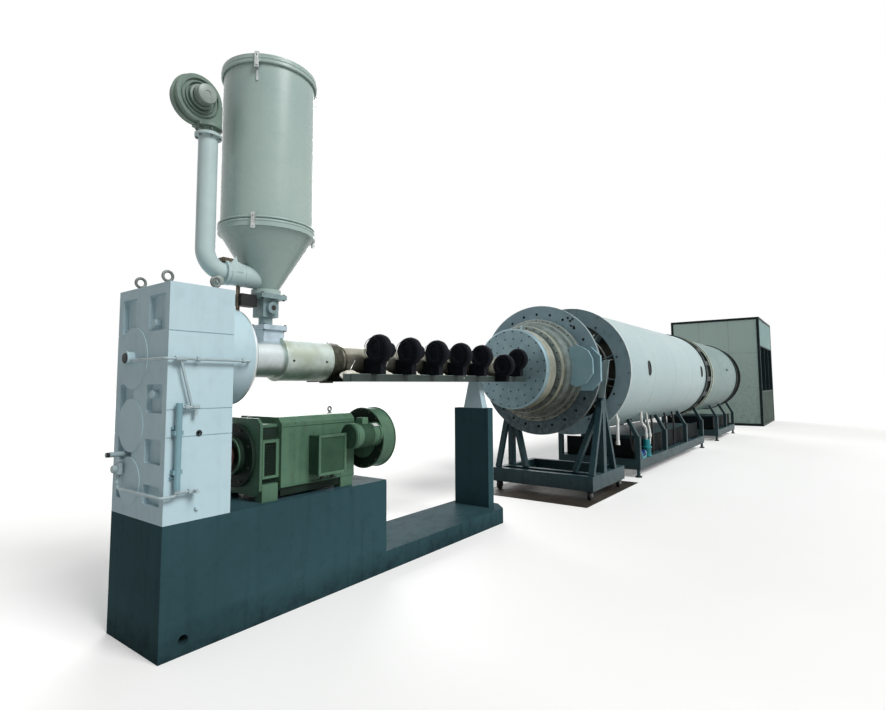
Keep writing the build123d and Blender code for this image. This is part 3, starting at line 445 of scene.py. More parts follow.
# Drive motor: a square cast frame with an open drive end, green two-coat enamel, dusty on top.
# Oil mist has darkened it towards the feet.
motor_enamel = enamel(
    "green motor enamel", "#54755F", "#4B6956", "#1E2A22",
    rough=0.38, dirt=0.35, run=0.28, grain=0.35, shine=0.15,
)
give(motor_enamel, "motor_frame", "blower_drum", "blower_motor")
# Painted shade: a darker copy of the motor green for the terminal box and the fan cowl's end.
shaded_green_enamel = enamel(
    "painted shade green enamel", "#3A5544", "#314A3B", "#17211A",
    rough=0.40, dirt=0.35, run=0.2, grain=0.2, shine=0.05,
)
give(shaded_green_enamel, "terminal_box")
# Painted shade: a near-black green for the end shield's face in shadow, also used for the openings, the plate
# behind the louvres, the drum's rear face and the strip under the foot.
shadow_enamel = enamel(
    "painted shade enamel", "#1A2620", "#213028", "#0E130F", rough=0.45, dirt=0.4, shine=0.08
)
give(shadow_enamel, "motor_end_shield")
shaft_steel = enamel(
    "heat-stained shaft steel", "#4A3530", "#3C2C2A", "#1A1413", rough=0.38, dirt=0.4, grain=0.08, metal=0.6
)
give(shaft_steel, "shaft_coupling")
side = -0.272
front_x = -0.073
frame_end = 0.650

# Drive-end grilles: a pressed louvre sheet in a light frame closes the middle of the near side.
# Slats 5 mm thick stand 13 mm apart; the slats, a plate behind them and the openings above and below the
# sheet are near-black painted shade.
heights = np.arange(0.965, 1.19, 0.013)
slats = [box((-0.212, side + 0.004, z), (-0.112, side + 0.018, z + 0.005)) for z in heights]
grille = [box((x, side - 0.004, 0.942), (x + 0.016, side + 0.016, 1.210)) for x in (-0.226, -0.114)]
grille += [box((-0.212, side - 0.004, z), (-0.112, side + 0.016, z + 0.018)) for z in (0.942, 1.192)]
piece("louvre_frame", grille, motor_enamel, bevel=0.002)
piece("louvre_slats", slats, shadow_enamel)
shaded_openings = [box((-0.222, side + 0.030, z), (-0.080, side + 0.034, z + 0.075)) for z in (1.225, 0.850)]
shaded_openings.append(box((-0.208, side + 0.0145, 0.962), (-0.116, side + 0.0155, 1.190)))
piece("drive_end_painted_shade", shaded_openings, shadow_enamel)

# Frame trim: a plate joint along the upper chamfer, two rows of pan-head rivets, and rails along the foot.
# The rails are folded 3 mm sheet under the same enamel.
rivet = lathe([(-0.004, 0), (-0.0035, 0.004), (0, 0.006)], axis="Y", steps=10)
rows = [(x, side, z) for z in (1.318, 0.875) for x in np.linspace(-0.02, 0.61, 9)]
piece("motor_rivets", [copies(rivet, rows)], motor_enamel)
rails = [
    box((front_x, side - 0.006, 1.298), (frame_end, side, 1.304)),
    box((front_x, side - 0.010, 0.862), (frame_end, side, 0.870)),
    box((front_x, side - 0.008, 0.868), (front_x + 0.012, side, 1.322)),
]
piece("motor_side_trim", rails, motor_enamel, bevel=0.0015)
# A near-black strip under the foot rail: a painted shadow.
under = box((front_x + 0.01, side + 0.01, 0.800), (frame_end - 0.005, side + 0.03, 0.862))
piece("motor_foot_shadow", [under], shadow_enamel)

# End shield: a ribbed casting with an inner cover, held by a ring of bolts.
# The bearing cap's lip keeps the motor's green, a pale arc against the end shield's painted shade.
shaft_z = 1.095
cap_lip = hoop(-0.010, 0, 0.118, 0.134, (-0.308, 0, shaft_z), steps=48)
piece("bearing_cap_lip", [cap_lip], motor_enamel)
bolt = stud(-0.010, 0, 0.009)
piece("end_shield_bolts", [bolt_ring(bolt, -0.276, 0.196, 8, 0.39, z=shaft_z)], oiled_bolts)

# Terminal box: a sheet lid with a raised rim and a sunk panel, four corner screws, two cable glands below.
# The box stands off the frame; its sides stay in shadow and look nearly black.
lid_low, lid_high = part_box("terminal_box")
y = lid_low.y
x0, x1, z0, z1 = lid_low.x, lid_high.x, lid_low.z, lid_high.z
edge = 0.022
rimmed = [box((x, y - 0.006, z0), (x + edge, y, z1)) for x in (x0, x1 - edge)]
rimmed += [box((x0 + edge, y - 0.006, z), (x1 - edge, y, z + edge)) for z in (z0, z1 - edge)]
piece("terminal_lid_rim", rimmed, motor_enamel, bevel=0.002)
corner = [(x, y - 0.006, z) for x in (x0 + 0.012, x1 - 0.012) for z in (z0 + 0.012, z1 - 0.012)]
screw = lathe([(-0.004, 0), (-0.004, 0.005), (0, 0.005)], axis="Y", steps=12)
piece("terminal_lid_screws", [copies(screw, corner)], zinc)
gland_profile = [(-0.040, 0), (-0.040, 0.012), (-0.024, 0.015), (-0.022, 0.020), (0, 0.020), (0, 0)]
gland = lathe(gland_profile, axis="Z", steps=8)
glands = copies(gland, [(x, -0.335, z0 + 0.008) for x in (0.26, 0.36)])
piece("terminal_glands", [glands], cap_rubber)

# Motor's own cooling blower: a rolled sheet drum with a small flanged motor on its near side.
# The fan cowl has a pressed guard of rings, and a bare plate is riveted to the motor's body.
fan = (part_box("blower_motor")[0].x, -0.41, 1.195)
guard = [hoop(-0.004, 0.001, r, r + 0.003, fan, steps=40) for r in (0.018, 0.036, 0.054, 0.072, 0.088)]
cowl_profile = [
    (-0.001, 0), (-0.001, 0.092), (0.004, 0.0985), (0.020, 0.1015),
    (0.020, 0.099), (0.006, 0.095), (0.006, 0),
]
piece("fan_cowl_end", guard + [lathe(cowl_profile, fan, steps=40)], shaded_green_enamel)
fins = [hoop(x, x + 0.003, 0.091, 0.099, fan) for x in np.arange(0.09, 0.20, 0.012)]
piece("fan_motor_fins", fins, motor_enamel)
plate_metal = enamel(
    "bare rating plate", "#C9CFCC", "#BCC2BE", "#8A8C84", rough=0.35, dirt=0.3, grain=0.05
)
angle = math.radians(128)
level, rise = math.cos(angle), math.sin(angle)
plate_points, plate_faces = box((-0.026, -0.018, 0.0), (0.026, 0.018, 0.0015))
facing = np.array([[1, 0, 0], [0, -rise, level], [0, level, rise]])
plate_points = plate_points @ facing + fan + np.array((0.235, 0.1005 * level, 0.1005 * rise))
piece("fan_rating_plate", [(plate_points, plate_faces)], plate_metal)
drum_y, drum_z = -0.26, 1.153
drum_bolts = bolt_ring(bolt, 0.752, 0.236, 16, y=drum_y, z=drum_z)
piece("drum_bolts", [drum_bolts], oiled_bolts)
# A near-black ring on the drum's rear face: painted shade.
drum_shade_profile = [(0, 0.168), (-0.003, 0.168), (-0.003, 0.246), (0, 0.246)]
drum_face_shade = lathe(drum_shade_profile, (0.7556, drum_y, drum_z), steps=64)
piece("drum_rear_face_painted_shade", [drum_face_shade], shadow_enamel)

# Barrel: nitrided steel cylinder in a turned feed section, a sheet cover and a clamped collar.
# Bare metal wiped with oil, heat-browned past the collar: bright above and olive-dark low down, partly oil
# film and partly painted shade.
feed_steel = turned(
    "turned feed section", "#DCE5E8", "#CAD4D5", "#4F5443", rough=0.30, clean=1.86, oily=1.66, patch=0.3
)
give(feed_steel, "feed_section")
cover_steel = turned(
    "oil-marked cover sheet", "#CBD8D3", "#B3BDAE", "#5E6A60", rough=0.36, clean=1.95, oily=1.62, patch=0.16
)
give(cover_steel, "barrel_cover")
collar_steel = turned(
    "rusty collar steel", "#5A5A4E", "#3F4037", "#1B1C19", rough=0.48, clean=2.1, oily=1.60, patch=0.05
)
give(collar_steel, "barrel_collar")
tube_steel = turned(
    "heat-browned barrel steel", "#B4B4A6", "#8B897B", "#24241F", rough=0.34, clean=1.87, oily=1.80, patch=0.2
)
give(tube_steel, "barrel_tube")
rims = [(0, 0.140), (0, 0.1495), (0.006, 0.151), (0.012, 0.1495), (0.012, 0.140), (0, 0.140)]
cover_rims = [(0, 0.165), (0, 0.1745), (0.004, 0.1755), (0.008, 0.1745), (0.008, 0.165), (0, 0.165)]
rings = [lathe(rims, (-0.262, 0, axis_z), steps=72)]
rings += [lathe(cover_rims, (x, 0, axis_z), steps=72) for x in (0.057, 0.513)]
piece("barrel_rims", rings, cover_steel)

# Barrel screws: blackened cap screws in the cover's near side and sockets in the feed section.
# The collar's two clamps are a pair of ears each, with a hexagon stud through them.
screw = lathe([(-0.008, 0), (-0.008, 0.007), (-0.005, 0.009), (0.003, 0.009), (0.003, 0)], axis="Y", steps=12)
cover_r, drop = 0.172, 0.018
cover_side = -cover_r * math.cos(math.asin(-drop / cover_r))
spots = [(x, cover_side, axis_z - drop) for x in (0.438, 0.11)]
piece("cover_screws", [copies(screw, spots)], oiled_bolts)
socket = lathe([(-0.003, 0), (-0.003, 0.010), (0.002, 0.0115), (0.002, 0)], axis="Y", steps=16)
feed_r = 0.146
heights = np.array([0.037, -0.029, -0.10])
spots = np.stack([0 * heights - 0.205, -np.sqrt(feed_r**2 - heights**2), axis_z + heights], -1)
piece("feed_sockets", [copies(socket, spots)], oiled_bolts)
ears = [box((0, y, -0.190), (0.030, y + 0.024, -0.145)) for y in (-0.030, 0.006)]
tie_profile = [
    (-0.045, 0), (-0.045, 0.009), (-0.031, 0.009), (-0.031, 0.006),
    (0.031, 0.006), (0.031, 0.009), (0.045, 0.009), (0.045, 0),
]
tie_stud = lathe(tie_profile, (0.015, 0, -0.172), "Y", 6)
clamps = [copies(shape, [(x, 0, axis_z) for x in (0.530, 0.602)]) for shape in ears + [tie_stud]]
piece("collar_clamp", clamps, collar_steel, bevel=0.001)

# Thermocouple sheaths: one bare steel tube, 8 mm across, for each heater band.
# It stands in the tray, leans up past the blower and is pressed into the band.
spacing = 0.42  # from one heater band and its blower to the next
bands = 0.88 + spacing * np.arange(7)
route = np.array([
    (-0.235, -0.205, 1.640), (-0.225, -0.205, 1.70), (-0.175, -0.195, 1.775),
    (-0.12, -0.165, 1.81), (-0.10, -0.12, 1.82),
])
sheaths = [tube(along(route + (x, 0, 0), 6), 0.004, (0, 0.3, 1), 8) for x in bands]
sheath_steel = turned(
    "thermocouple sheath steel", "#C9CBC5", "#A3A49B", "#55503F",
    rough=0.35, clean=1.80, oily=1.60, patch=0.04,
)
piece("thermocouple_sheaths", sheaths, sheath_steel)

# Barrel blowers: black moulded casings, matt, dusty in the hub.
# A pressed ring guard closes each inlet, and the motor's fins stand behind it.
casing = enamel(
    "black moulded casing", "#0E1117", "#13161C", "#22231F",
    rough=0.5, dirt=0.10, grain=0.2, peel=0.25, shine=0.06,
)
give(casing, "barrel_fans")
fan_places = np.stack([bands, 0 * bands - 0.30, 0 * bands + 1.915], -1)
fan_places[5, 1:] = (-0.345, 1.825)  # the sixth blower hangs lower and stands further out
inlet = (-0.048, 0, 0)
hoops = [hoop(-0.002, 0.003, 0.040, 0.043, inlet)]
hoops += [hoop(-0.003, 0.002, r, r + 0.003, inlet) for r in (0.058, 0.076, 0.094)]
piece("blower_guards", [copies(shape, fan_places) for shape in hoops], casing)
cap = lathe([(0.105, 0), (0.105, 0.030), (0.112, 0.028), (0.115, 0)], (0.048, 0, 0), steps=24)
piece("blower_motor_caps", [copies(cap, fan_places)], casing)

# Tray under the blowers: folded 3 mm steel channel, dark green enamel over oil and dust.
# Its lip is rubbed pale where hands rest, and an apron of the same sheet runs on under the collar.
tray_enamel = enamel(
    "dark green tray enamel", "#2B3634", "#35413E", "#14130F", rough=0.5, dirt=0.55, grain=0.25
)
give(tray_enamel, "fan_tray")
rubbed = enamel("rubbed tray edge", "#7C8A84", "#5F6B66", "#2A2C26", rough=0.42, dirt=0.5, grain=0.12)
low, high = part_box("fan_tray")
lips = [
    box((low.x + 0.002, y - 0.002, high.z - 0.001), (high.x - 0.002, y + 0.006, high.z + 0.004))
    for y in (low.y + 0.002, high.y - 0.006)
]
piece("tray_lips", lips, rubbed, bevel=0.001)
start, end, floor = 0.560, low.x + 0.01, 1.630
apron = [
    box((start, low.y, floor), (end, high.y, floor + 0.0035)),
    box((start, low.y, floor), (end, low.y + 0.004, high.z)),
    box((start, high.y - 0.004, floor), (end, high.y, high.z)),
]
piece("tray_apron", apron, tray_enamel, bevel=0.001)


# Heat wraps: glass cloth stuffed with mineral wool, laid in the tray between the blowers.
# Creamy white and crumpled, greyed by dust, each about 200 mm long.
def lump(centre, size, wave, rows=18, steps=28, foot=1.6355):
    """A flattened ball: its radius is one plus three crossed waves of latitude and turn, times its size.

    Below the height foot it is cut flat, so that it lies on the tray."""
    v = np.linspace(-math.pi / 2, math.pi / 2, rows)[:, None]
    u = np.linspace(0, 2 * math.pi, steps, endpoint=False)[None, :]
    ripple = 0.10 * np.sin(3 * u + wave) * np.cos(2 * v) + 0.07 * np.sin(5 * u - 2 * wave + 4 * v)
    ripple = ripple + 0.04 * np.sin(9 * u + 7 * v + wave)
    radius = 1 + ripple * np.cos(v)
    grid = np.stack([radius * np.cos(v) * np.cos(u), radius * np.cos(v) * np.sin(u), radius * np.sin(v)], -1)
    grid = grid.reshape(-1, 3) * np.array(size) + np.array(centre)
    grid[:, 2] = np.maximum(grid[:, 2], foot)
    return grid, quads(rows, steps)


wool = enamel(
    "glass cloth heat wrap", "#E6E4DA", "#CFCBBB", "#8D8673", rough=0.8, dirt=0.45, grain=0.05, peel=0.5
)
wraps = []
for k, x in enumerate(0.70 + spacing * np.arange(7)):
    wraps.append(lump((x - 0.02, -0.180, 1.680), (0.085, 0.050, 0.050 + 0.010 * (k % 3)), 1.7 * k))
    wraps.append(lump((x + 0.06, -0.165, 1.670), (0.070, 0.055, 0.044 + 0.008 * (k % 2)), 2.9 * k + 1))
piece("heat_wraps", wraps, wool)

# Hopper: rolled and welded sheet steel, sprayed with satin grey-green enamel.
# Rolled beads stiffen the rims; the cone and throat below are handled and dusty.
hopper_enamel = enamel(
    "satin grey-green hopper enamel", "#99AEAA", "#A3B6AF", "#7B8C87",
    rough=0.27, dirt=0.05, run=0.10, grain=0.9, peel=0.04, shine=0.4,
)
give(hopper_enamel, "hopper_shell", "hopper_lid", "hopper_cone")
worn_hopper = enamel(
    "handled throat enamel", "#8AA0A2", "#7B9194", "#3F4641", rough=0.40, dirt=0.55, run=0.25, grain=0.12
)
give(worn_hopper, "hopper_gate")
pale_throat = enamel(
    "pale blue throat enamel", "#AEC1CC", "#B9CBD5", "#4F534C", rough=0.38, dirt=0.35, run=0.25, grain=0.2
)
give(pale_throat, "hopper_throat")
hx = -0.035
rolled = [(0.009 * math.sin(a), 0.009 * math.cos(a)) for a in np.linspace(0, 2 * math.pi, 13)]
rims = ((2.822, 0.355), (2.796, 0.356), (3.992, 0.355), (4.020, 0.356))  # height and radius of each
beads = [lathe([(z + s, r + t) for s, t in rolled], (hx, 0, 0), "Z", 96) for z, r in rims]
piece("hopper_rim_beads", beads, hopper_enamel)

# Gate and throat fixings: hexagon screws at the plates' corners, 16 mm across, and the gate's bored boss.
# Blackened, greasy with granule dust.
corner_screw = stud(-0.008, 0.044, 0.009, axis="Z")
spots = [(hx + x, y, 2.266) for x in (-0.095, 0.095) for y in (-0.095, 0.095)]
spots += [(x, y, 2.030) for x in (-0.094, 0.094) for y in (-0.074, 0.074)]
bore = stud(-0.002, 0.004, 0.020, (hx, -0.102, 2.196), "Y", 24)
piece("gate_screws", [copies(corner_screw, spots), bore], oiled_bolts)

# Toggle latches: zinc-plated spring clips, each a lever, a bow and a hook, riveted across the rim.
# Three sit where the cone meets the shell and three hold the lid; bright with grey wear.
bright_plate = enamel(
    "bright plated strip", "#C8CDCC", "#AEB3B2", "#7B7A72", rough=0.26, dirt=0.25, grain=0.1, metal=0.8
)
give(bright_plate, "hopper_latches")
lever = box((0.374, -0.009, -0.046), (0.3785, 0.009, 0.022))
lip = box((0.3785, -0.009, -0.046), (0.386, 0.009, -0.041))
hook = box((0.374, -0.009, 0.034), (0.384, 0.009, 0.044))
bow = tube([(0.379, -0.008, -0.020), (0.383, -0.008, 0.008), (0.380, -0.008, 0.042)], 0.0028, (0, 1, 0), 8)
tail = box((0.3445, -0.007, -0.150), (0.3510, 0.007, -0.058))


def mirrored(shape):
    """The shape and its mirror image across the line's upright middle plane."""
    points, faces = shape
    return [shape, (points * (1, -1, 1), faces)]


def round_axis(shape, degrees, place):
    """The shape turned about the upright axis by this angle, then moved to the place."""
    points, faces = shape
    a = math.radians(degrees)
    spin = np.array([[math.cos(a), math.sin(a), 0], [-math.sin(a), math.cos(a), 0], [0, 0, 1]])
    return points @ spin + np.array(place, float), faces


latch = [lever, lip, hook, *mirrored(bow)]
set_at = [(a, (hx, 0, z)) for a in (-140, -20, 100) for z in (2.790, 3.996)]
latches = [round_axis(shape, a, place) for a, place in set_at for shape in latch]
latches.append(round_axis(tail, -140, (hx, 0, 3.996)))
piece("latch_levers", latches, bright_plate)

# Hot air unit: a cast volute blower on a spun pipe, with a heater drum at the cone.
# The blower is a darker olive enamel, the pipe a paler one; flanges are drawn up by six screws.
blower_enamel = enamel(
    "olive blower enamel", "#6B7F75", "#73877C", "#3A433C", rough=0.38, dirt=0.3, grain=0.12
)
give(blower_enamel, "hopper_blower")
duct_enamel = enamel(
    "pale duct enamel", "#B8CBCB", "#ADC0C0", "#7C8A88", rough=0.32, dirt=0.1, run=0.12, grain=0.3
)
give(duct_enamel, "hot_air_pipe", "heater_drum")
volute_x, volute_z = -0.635, 3.62
volute = (volute_x, -0.052, volute_z)
rim_step = [(0.004, 0.128), (-0.010, 0.128), (-0.014, 0.132), (-0.010, 0.137), (0.004, 0.137)]
mid_step = [(0.004, 0.100), (-0.014, 0.100), (-0.018, 0.104), (-0.014, 0.110), (0.004, 0.110)]
hub_step = [(0.004, 0.068), (-0.026, 0.068), (-0.030, 0.072), (-0.026, 0.086), (0.004, 0.088)]
stepped = [lathe(profile, volute, "Y", n) for profile, n in ((rim_step, 56), (mid_step, 56), (hub_step, 48))]
piece("blower_steps", stepped, blower_enamel)
fins = [hoop(0, 0.004, 0.060, 0.0695, (volute_x, y, volute_z), "Y") for y in (-0.128, -0.114, -0.100)]
boss_grey = enamel(
    "grey motor boss enamel", "#8D9992", "#98A49D", "#4B504B", rough=0.36, dirt=0.35, grain=0.06
)
end_profile = [
    (0.012, 0), (0.012, 0.0665), (-0.004, 0.0665), (-0.008, 0.060),
    (-0.008, 0.022), (-0.004, 0.020), (-0.004, 0),
]
end_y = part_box("hopper_blower")[0].y + 0.001
end_cap = lathe(end_profile, (volute_x, end_y, volute_z), "Y", 40)
piece("blower_motor_end", fins + [end_cap], boss_grey)
turns = np.arange(6) * math.pi / 3 + 0.3
spots = np.stack([-0.54 + 0.080 * np.cos(turns), 0.080 * np.sin(turns), 0 * turns + 3.371], -1)
bolt_parts = [
    stud(0, 0.009, 0.0085, axis="Z"),
    stud(0.009, 0.070, 0.0045, axis="Z", steps=8),
    stud(0.069, 0.078, 0.0085, axis="Z"),
]
piece("duct_flange_bolts", [copies(shape, spots) for shape in bolt_parts], zinc)
straps = [
    hoop(0, 0.022, 0.080, 0.0885, (-0.372, 0, 2.424), steps=56),
    hoop(0, 0.012, 0.080, 0.0875, (-0.262, 0, 2.424), steps=56),
]
piece("heater_straps", straps, duct_enamel)

# Heater terminals: a small dark moulded box under the drum, two steel posts that carry it, and a round plug.
# The drum's heat has browned the posts.
posts = copies(stud(0, 0.42, 0.010, axis="Z", steps=12), [(-0.288, -0.010, 1.94), (-0.258, 0.020, 1.94)])
brown_steel = turned(
    "browned support steel", "#6A6154", "#4D463C", "#1E1B17", rough=0.45, clean=2.6, oily=1.9, patch=0.05
)
piece("heater_posts", [posts], brown_steel)
terminals = box((-0.275, -0.045, 2.195), (-0.140, 0.045, 2.285))
piece("heater_box", [terminals], cap_rubber, bevel=0.003)
plug = [
    (-0.022, 0), (-0.022, 0.024), (-0.018, 0.030), (-0.004, 0.030), (-0.004, 0.036), (0.03, 0.036), (0.03, 0),
]
piece("heater_plug", [lathe(plug, (-0.475, -0.075, 2.345), "Y", 32)], boss_grey)


# Heater fin: a cut and folded sheet, 6 mm thick, that shields the terminals from the cone's heat.
# It has the pipe's enamel; a bent bracket of browned steel lies over the drum's top.
def slab(outline, y0, y1):
    """A flat outline of (x, z) points at y0, carried straight to y1, with both ends closed."""
    x, z = np.array(outline, float).T
    count = len(x)
    points = np.concatenate([np.stack([x, 0 * x + y, z], -1) for y in (y0, y1)])
    middle = np.array([[x.mean(), y0, z.mean()], [x.mean(), y1, z.mean()]])
    k = np.arange(count)
    n = (k + 1) % count
    sides = np.stack([k, n, n + count, k + count], -1)
    hub = 0 * k + 2 * count
    first = np.stack([k, n, hub, hub], -1)
    last = np.stack([k + count, n + count, hub + 1, hub + 1], -1)
    return np.concatenate([points, middle]), np.concatenate([sides, first, last])


fin_outline = [
    (-0.405, 2.455), (-0.350, 2.540), (-0.335, 2.500), (-0.275, 2.480), (-0.285, 2.430), (-0.400, 2.425),
]
piece("heater_fin", [slab(fin_outline, -0.0875, -0.0815)], duct_enamel)
bracket = box((-0.425, -0.040, 2.494), (-0.300, 0.040, 2.530))
piece("heater_bracket", [bracket], brown_steel, bevel=0.004)

# Pipe die: forged and turned tool steel, blued by handling and streaked with oil and burnt plastic.
# Its lower half is darker, partly dirt and partly painted shade; the plate's turned rim is brighter than its
# face.
die_steel = turned(
    "oiled die steel", "#8AA5AC", "#7D98A1", "#4E5A59",
    rough=0.48, clean=1.75, oily=0.95, share=0.45, patch=0.14, metal=0.4,
)
give(die_steel, "die_back_plate")
body_steel = turned(
    "oily die body steel", "#8F9C9A", "#7A8583", "#3E3A2E",
    rough=0.45, clean=2.1, oily=1.35, share=0.85, patch=0.10, metal=0.6,
)
give(body_steel, "die_neck", "die_body")
flange_steel = turned(
    "blued flange steel", "#748C94", "#687F87", "#303C40",
    rough=0.48, clean=2.05, oily=1.35, share=1.0, patch=0.3, metal=0.45,
)
give(flange_steel, "die_flange")
inner_steel = turned(
    "die outlet steel", "#7D858A", "#5E666A", "#23221E", rough=0.38, clean=2.2, oily=1.5, patch=0.15
)
give(inner_steel, "die_outlet", "die_mandrel")

# Die screws: blackened socket heads in three circles on the plate, more on the neck ring and the body.
# Heads are 20 and 35 mm across, let in so that little stands proud.
socket_black = enamel(
    "blackened socket screws", "#15181A", "#1D2123", "#2D2A24", rough=0.5, dirt=0.3, grain=0.05
)
socket_profile = [
    (-0.005, 0), (-0.001, 0.006), (-0.006, 0.007), (-0.006, 0.0115),
    (-0.004, 0.0135), (0.002, 0.0135), (0.002, 0),
]
socket_points, socket_faces = lathe(socket_profile, steps=12)
small = (socket_points * (0.6, 0.75, 0.75), socket_faces)
large = (socket_points * (1.4, 1.3, 1.3), socket_faces)
plate_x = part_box("die_back_plate")[0].x
circles = [  # x, radius, number and first angle of each
    (plate_x, 0.505, 24, 0.07), (plate_x, 0.405, 20, 0.11), (plate_x, 0.305, 16, 0.02),
    (4.090, 0.575, 30, 0.05), (4.480, 0.708, 24, 0.06),
]
screws = [bolt_ring(small, *circle) for circle in circles]
upper_side = [(-0.525, 2.495), (-0.560, 2.520), (-0.535, 2.425), (-0.575, 2.405), (-0.490, 2.540)]
screws.append(copies(large, [(4.58, y, z) for y, z in upper_side]))
piece("die_screws", screws, socket_black)

# Turned rims: narrow bright lands left by the lathe on the neck, the body's steps and the big flange.
# The black rubber gasket lies before the flange, and a lifting stud stands on the neck.
rim_steel = turned(
    "bright turned rim", "#D2D6CC", "#BDBFAE", "#6C6444",
    rough=0.34, clean=2.35, oily=1.35, share=0.75, patch=0.09, metal=0.75,
)
lands = [  # from, to, inner and outer radius of each
    (3.838, 4.036, 0.544, 0.5475), (4.092, 4.176, 0.599, 0.6035), (4.584, 4.592, 0.939, 0.9425),
    (4.3795, 4.386, 0.683, 0.6870), (4.4795, 4.486, 0.728, 0.7320),
]
on_axis = (0, 0, axis_z)
turned_rims = [hoop(*land, on_axis, steps=120, shut=False) for land in lands]
piece("die_turned_rims", turned_rims, rim_steel)
gasket = hoop(4.6425, 4.648, 0.785, 0.850, on_axis, steps=120)
piece("flange_gasket", [gasket], cap_rubber)
lifting = [(0, 0), (0, 0.011), (0.045, 0.011), (0.050, 0.008), (0.050, 0)]
eye = lathe(lifting, (3.93, -0.09, axis_z + 0.538), "Z", 16)
piece("die_lifting_stud", [eye], die_steel)

# Die trolley: welded channel and box section on flanged wheels, brushed with dark teal enamel.
# Scuffed at the feet; the wheels have black tyres and zinc-plated hubs, and stand on chequer plate.
carrier_enamel = enamel(
    "dark carrier enamel", "#2C3E43", "#26363B", "#12181A", rough=0.45, dirt=0.35, grain=0.3
)
give(carrier_enamel, "die_carrier")
trolley_enamel = enamel(
    "dark teal trolley enamel", "#263F45", "#2E484E", "#111A1A",
    rough=0.38, dirt=0.35, foot=0.35, run=0.2, grain=0.3, shine=0.2,
)
give(trolley_enamel, "trolley_frame", "trolley_posts")
tyre = enamel("black wheel tyres", "#101112", "#18191A", "#3A3833", rough=0.6, dirt=0.5, grain=0.06)
give(tyre, "trolley_wheels")
plate_iron = enamel("worn chequer plate", "#2B2722", "#37322B", "#0F0E0C", rough=0.5, dirt=0.6, grain=0.3)
give(plate_iron, "floor_plate")
hub = lathe([(-0.034, 0), (-0.034, 0.024), (-0.026, 0.030), (0, 0.030), (0, 0)], axis="Y", steps=24)
piece("wheel_hubs", [copies(hub, [(x, -0.72, 0.07) for x in (4.67, 5.84)])], zinc)

# Side lugs: flame-cut octagonal plates, 34 mm thick, bolted against the body's step for the lifting gear.
# Smooth pale blue enamel, with bevelled edges.
lug_enamel = enamel(
    "smooth lug enamel", "#86A8B2", "#8EB0B9", "#4C646B", rough=0.36, dirt=0.15, grain=0.4, shine=0.12
)
give(lug_enamel, "die_lugs")


def plate(outline, x, thick):
    """A flat outline of (y, z) points at x, carried straight on along the line by its thickness."""
    points, faces = slab(outline, 0, thick)
    return points[:, [1, 0, 2]] + (x, 0, 0), faces


lug_outline = [
    (-0.600, 1.60), (-0.690, 1.56), (-0.830, 1.61), (-0.930, 1.74),
    (-0.930, 1.93), (-0.870, 2.05), (-0.720, 2.13), (-0.600, 2.10),
]
piece("side_lugs", mirrored(plate(lug_outline, 4.340, 0.034)), lug_enamel, bevel=0.003)

# Cradle: a bare steel plate leans out on each post head, with a round bar beside it.
# Cut edges, screwed on, darker towards the foot, partly oil and partly painted shade.
cradle_steel = turned(
    "bare cradle plate", "#B9CFCF", "#A5BDBE", "#57605C",
    rough=0.42, clean=1.9, oily=1.2, share=0.7, patch=0.1, metal=0.55,
)
pad_outline = [(-0.735, 1.40), (-0.825, 1.40), (-0.915, 1.945), (-0.835, 1.945), (-0.790, 1.90)]
pads = mirrored(plate(pad_outline, 5.020, 0.012))
piece("cradle_pads", pads, cradle_steel, bevel=0.002)
post_y = -0.790
rod = tube([(5.03, post_y - 0.002, 1.36), (5.075, post_y - 0.002, 1.86)], 0.011, (0, 1, 0), 10)
piece("cradle_rods", mirrored(rod), trolley_enamel)
spots = [(x, post_y - 0.011, z) for x, z in ((5.115, 1.44), (5.150, 1.80), (5.125, 1.80), (5.145, 1.44))]
piece("cradle_screws", [copies(stud(-0.010, 0, 0.011, axis="Y"), spots)], oiled_bolts)

# Tanks: rolled stainless shells, sprayed pale grey-white, smooth and clean with a soft sheen.
# Faint upright welds, a little grey dust low down; cast rings close their ends.
tank_enamel = enamel(
    "pale grey-white tank enamel", "#AABEC0", "#B0C3C3", "#8A9998",
    rough=0.36, dirt=0.06, run=0.06, grain=1.5, peel=0.05, shine=0.12,
)
give(tank_enamel, "tank_1_shell")
grey_tank = enamel(
    "grey-green tank enamel", "#748C8A", "#7C938F", "#586865",
    rough=0.36, dirt=0.08, run=0.08, grain=1.2, peel=0.05, shine=0.1,
)
give(grey_tank, "tank_2_shell")
ring_enamel = enamel(
    "blue-grey ring enamel", "#90ADB6", "#9BB6BE", "#4C5C61",
    rough=0.40, dirt=0.35, run=0.2, grain=0.3, shine=0.06,
)
give(ring_enamel, "tank_1_front_ring")
dark_ring = enamel(
    "dark oily ring castings", "#343A3A", "#434A49", "#171817", rough=0.45, dirt=0.5, grain=0.15, shine=0.1
)
give(dark_ring, "tank_1_rear_ring", "tank_2_rear_ring")
sleeve_bronze = turned(
    "stained sizing sleeve", "#5C5F58", "#45463F", "#1E1C18",
    rough=0.42, clean=2.5, oily=1.3, patch=0.1, metal=0.7,
)
give(sleeve_bronze, "sizing_sleeve")
ring_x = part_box("tank_1_front_ring")[0].x
tank_r = 0.993


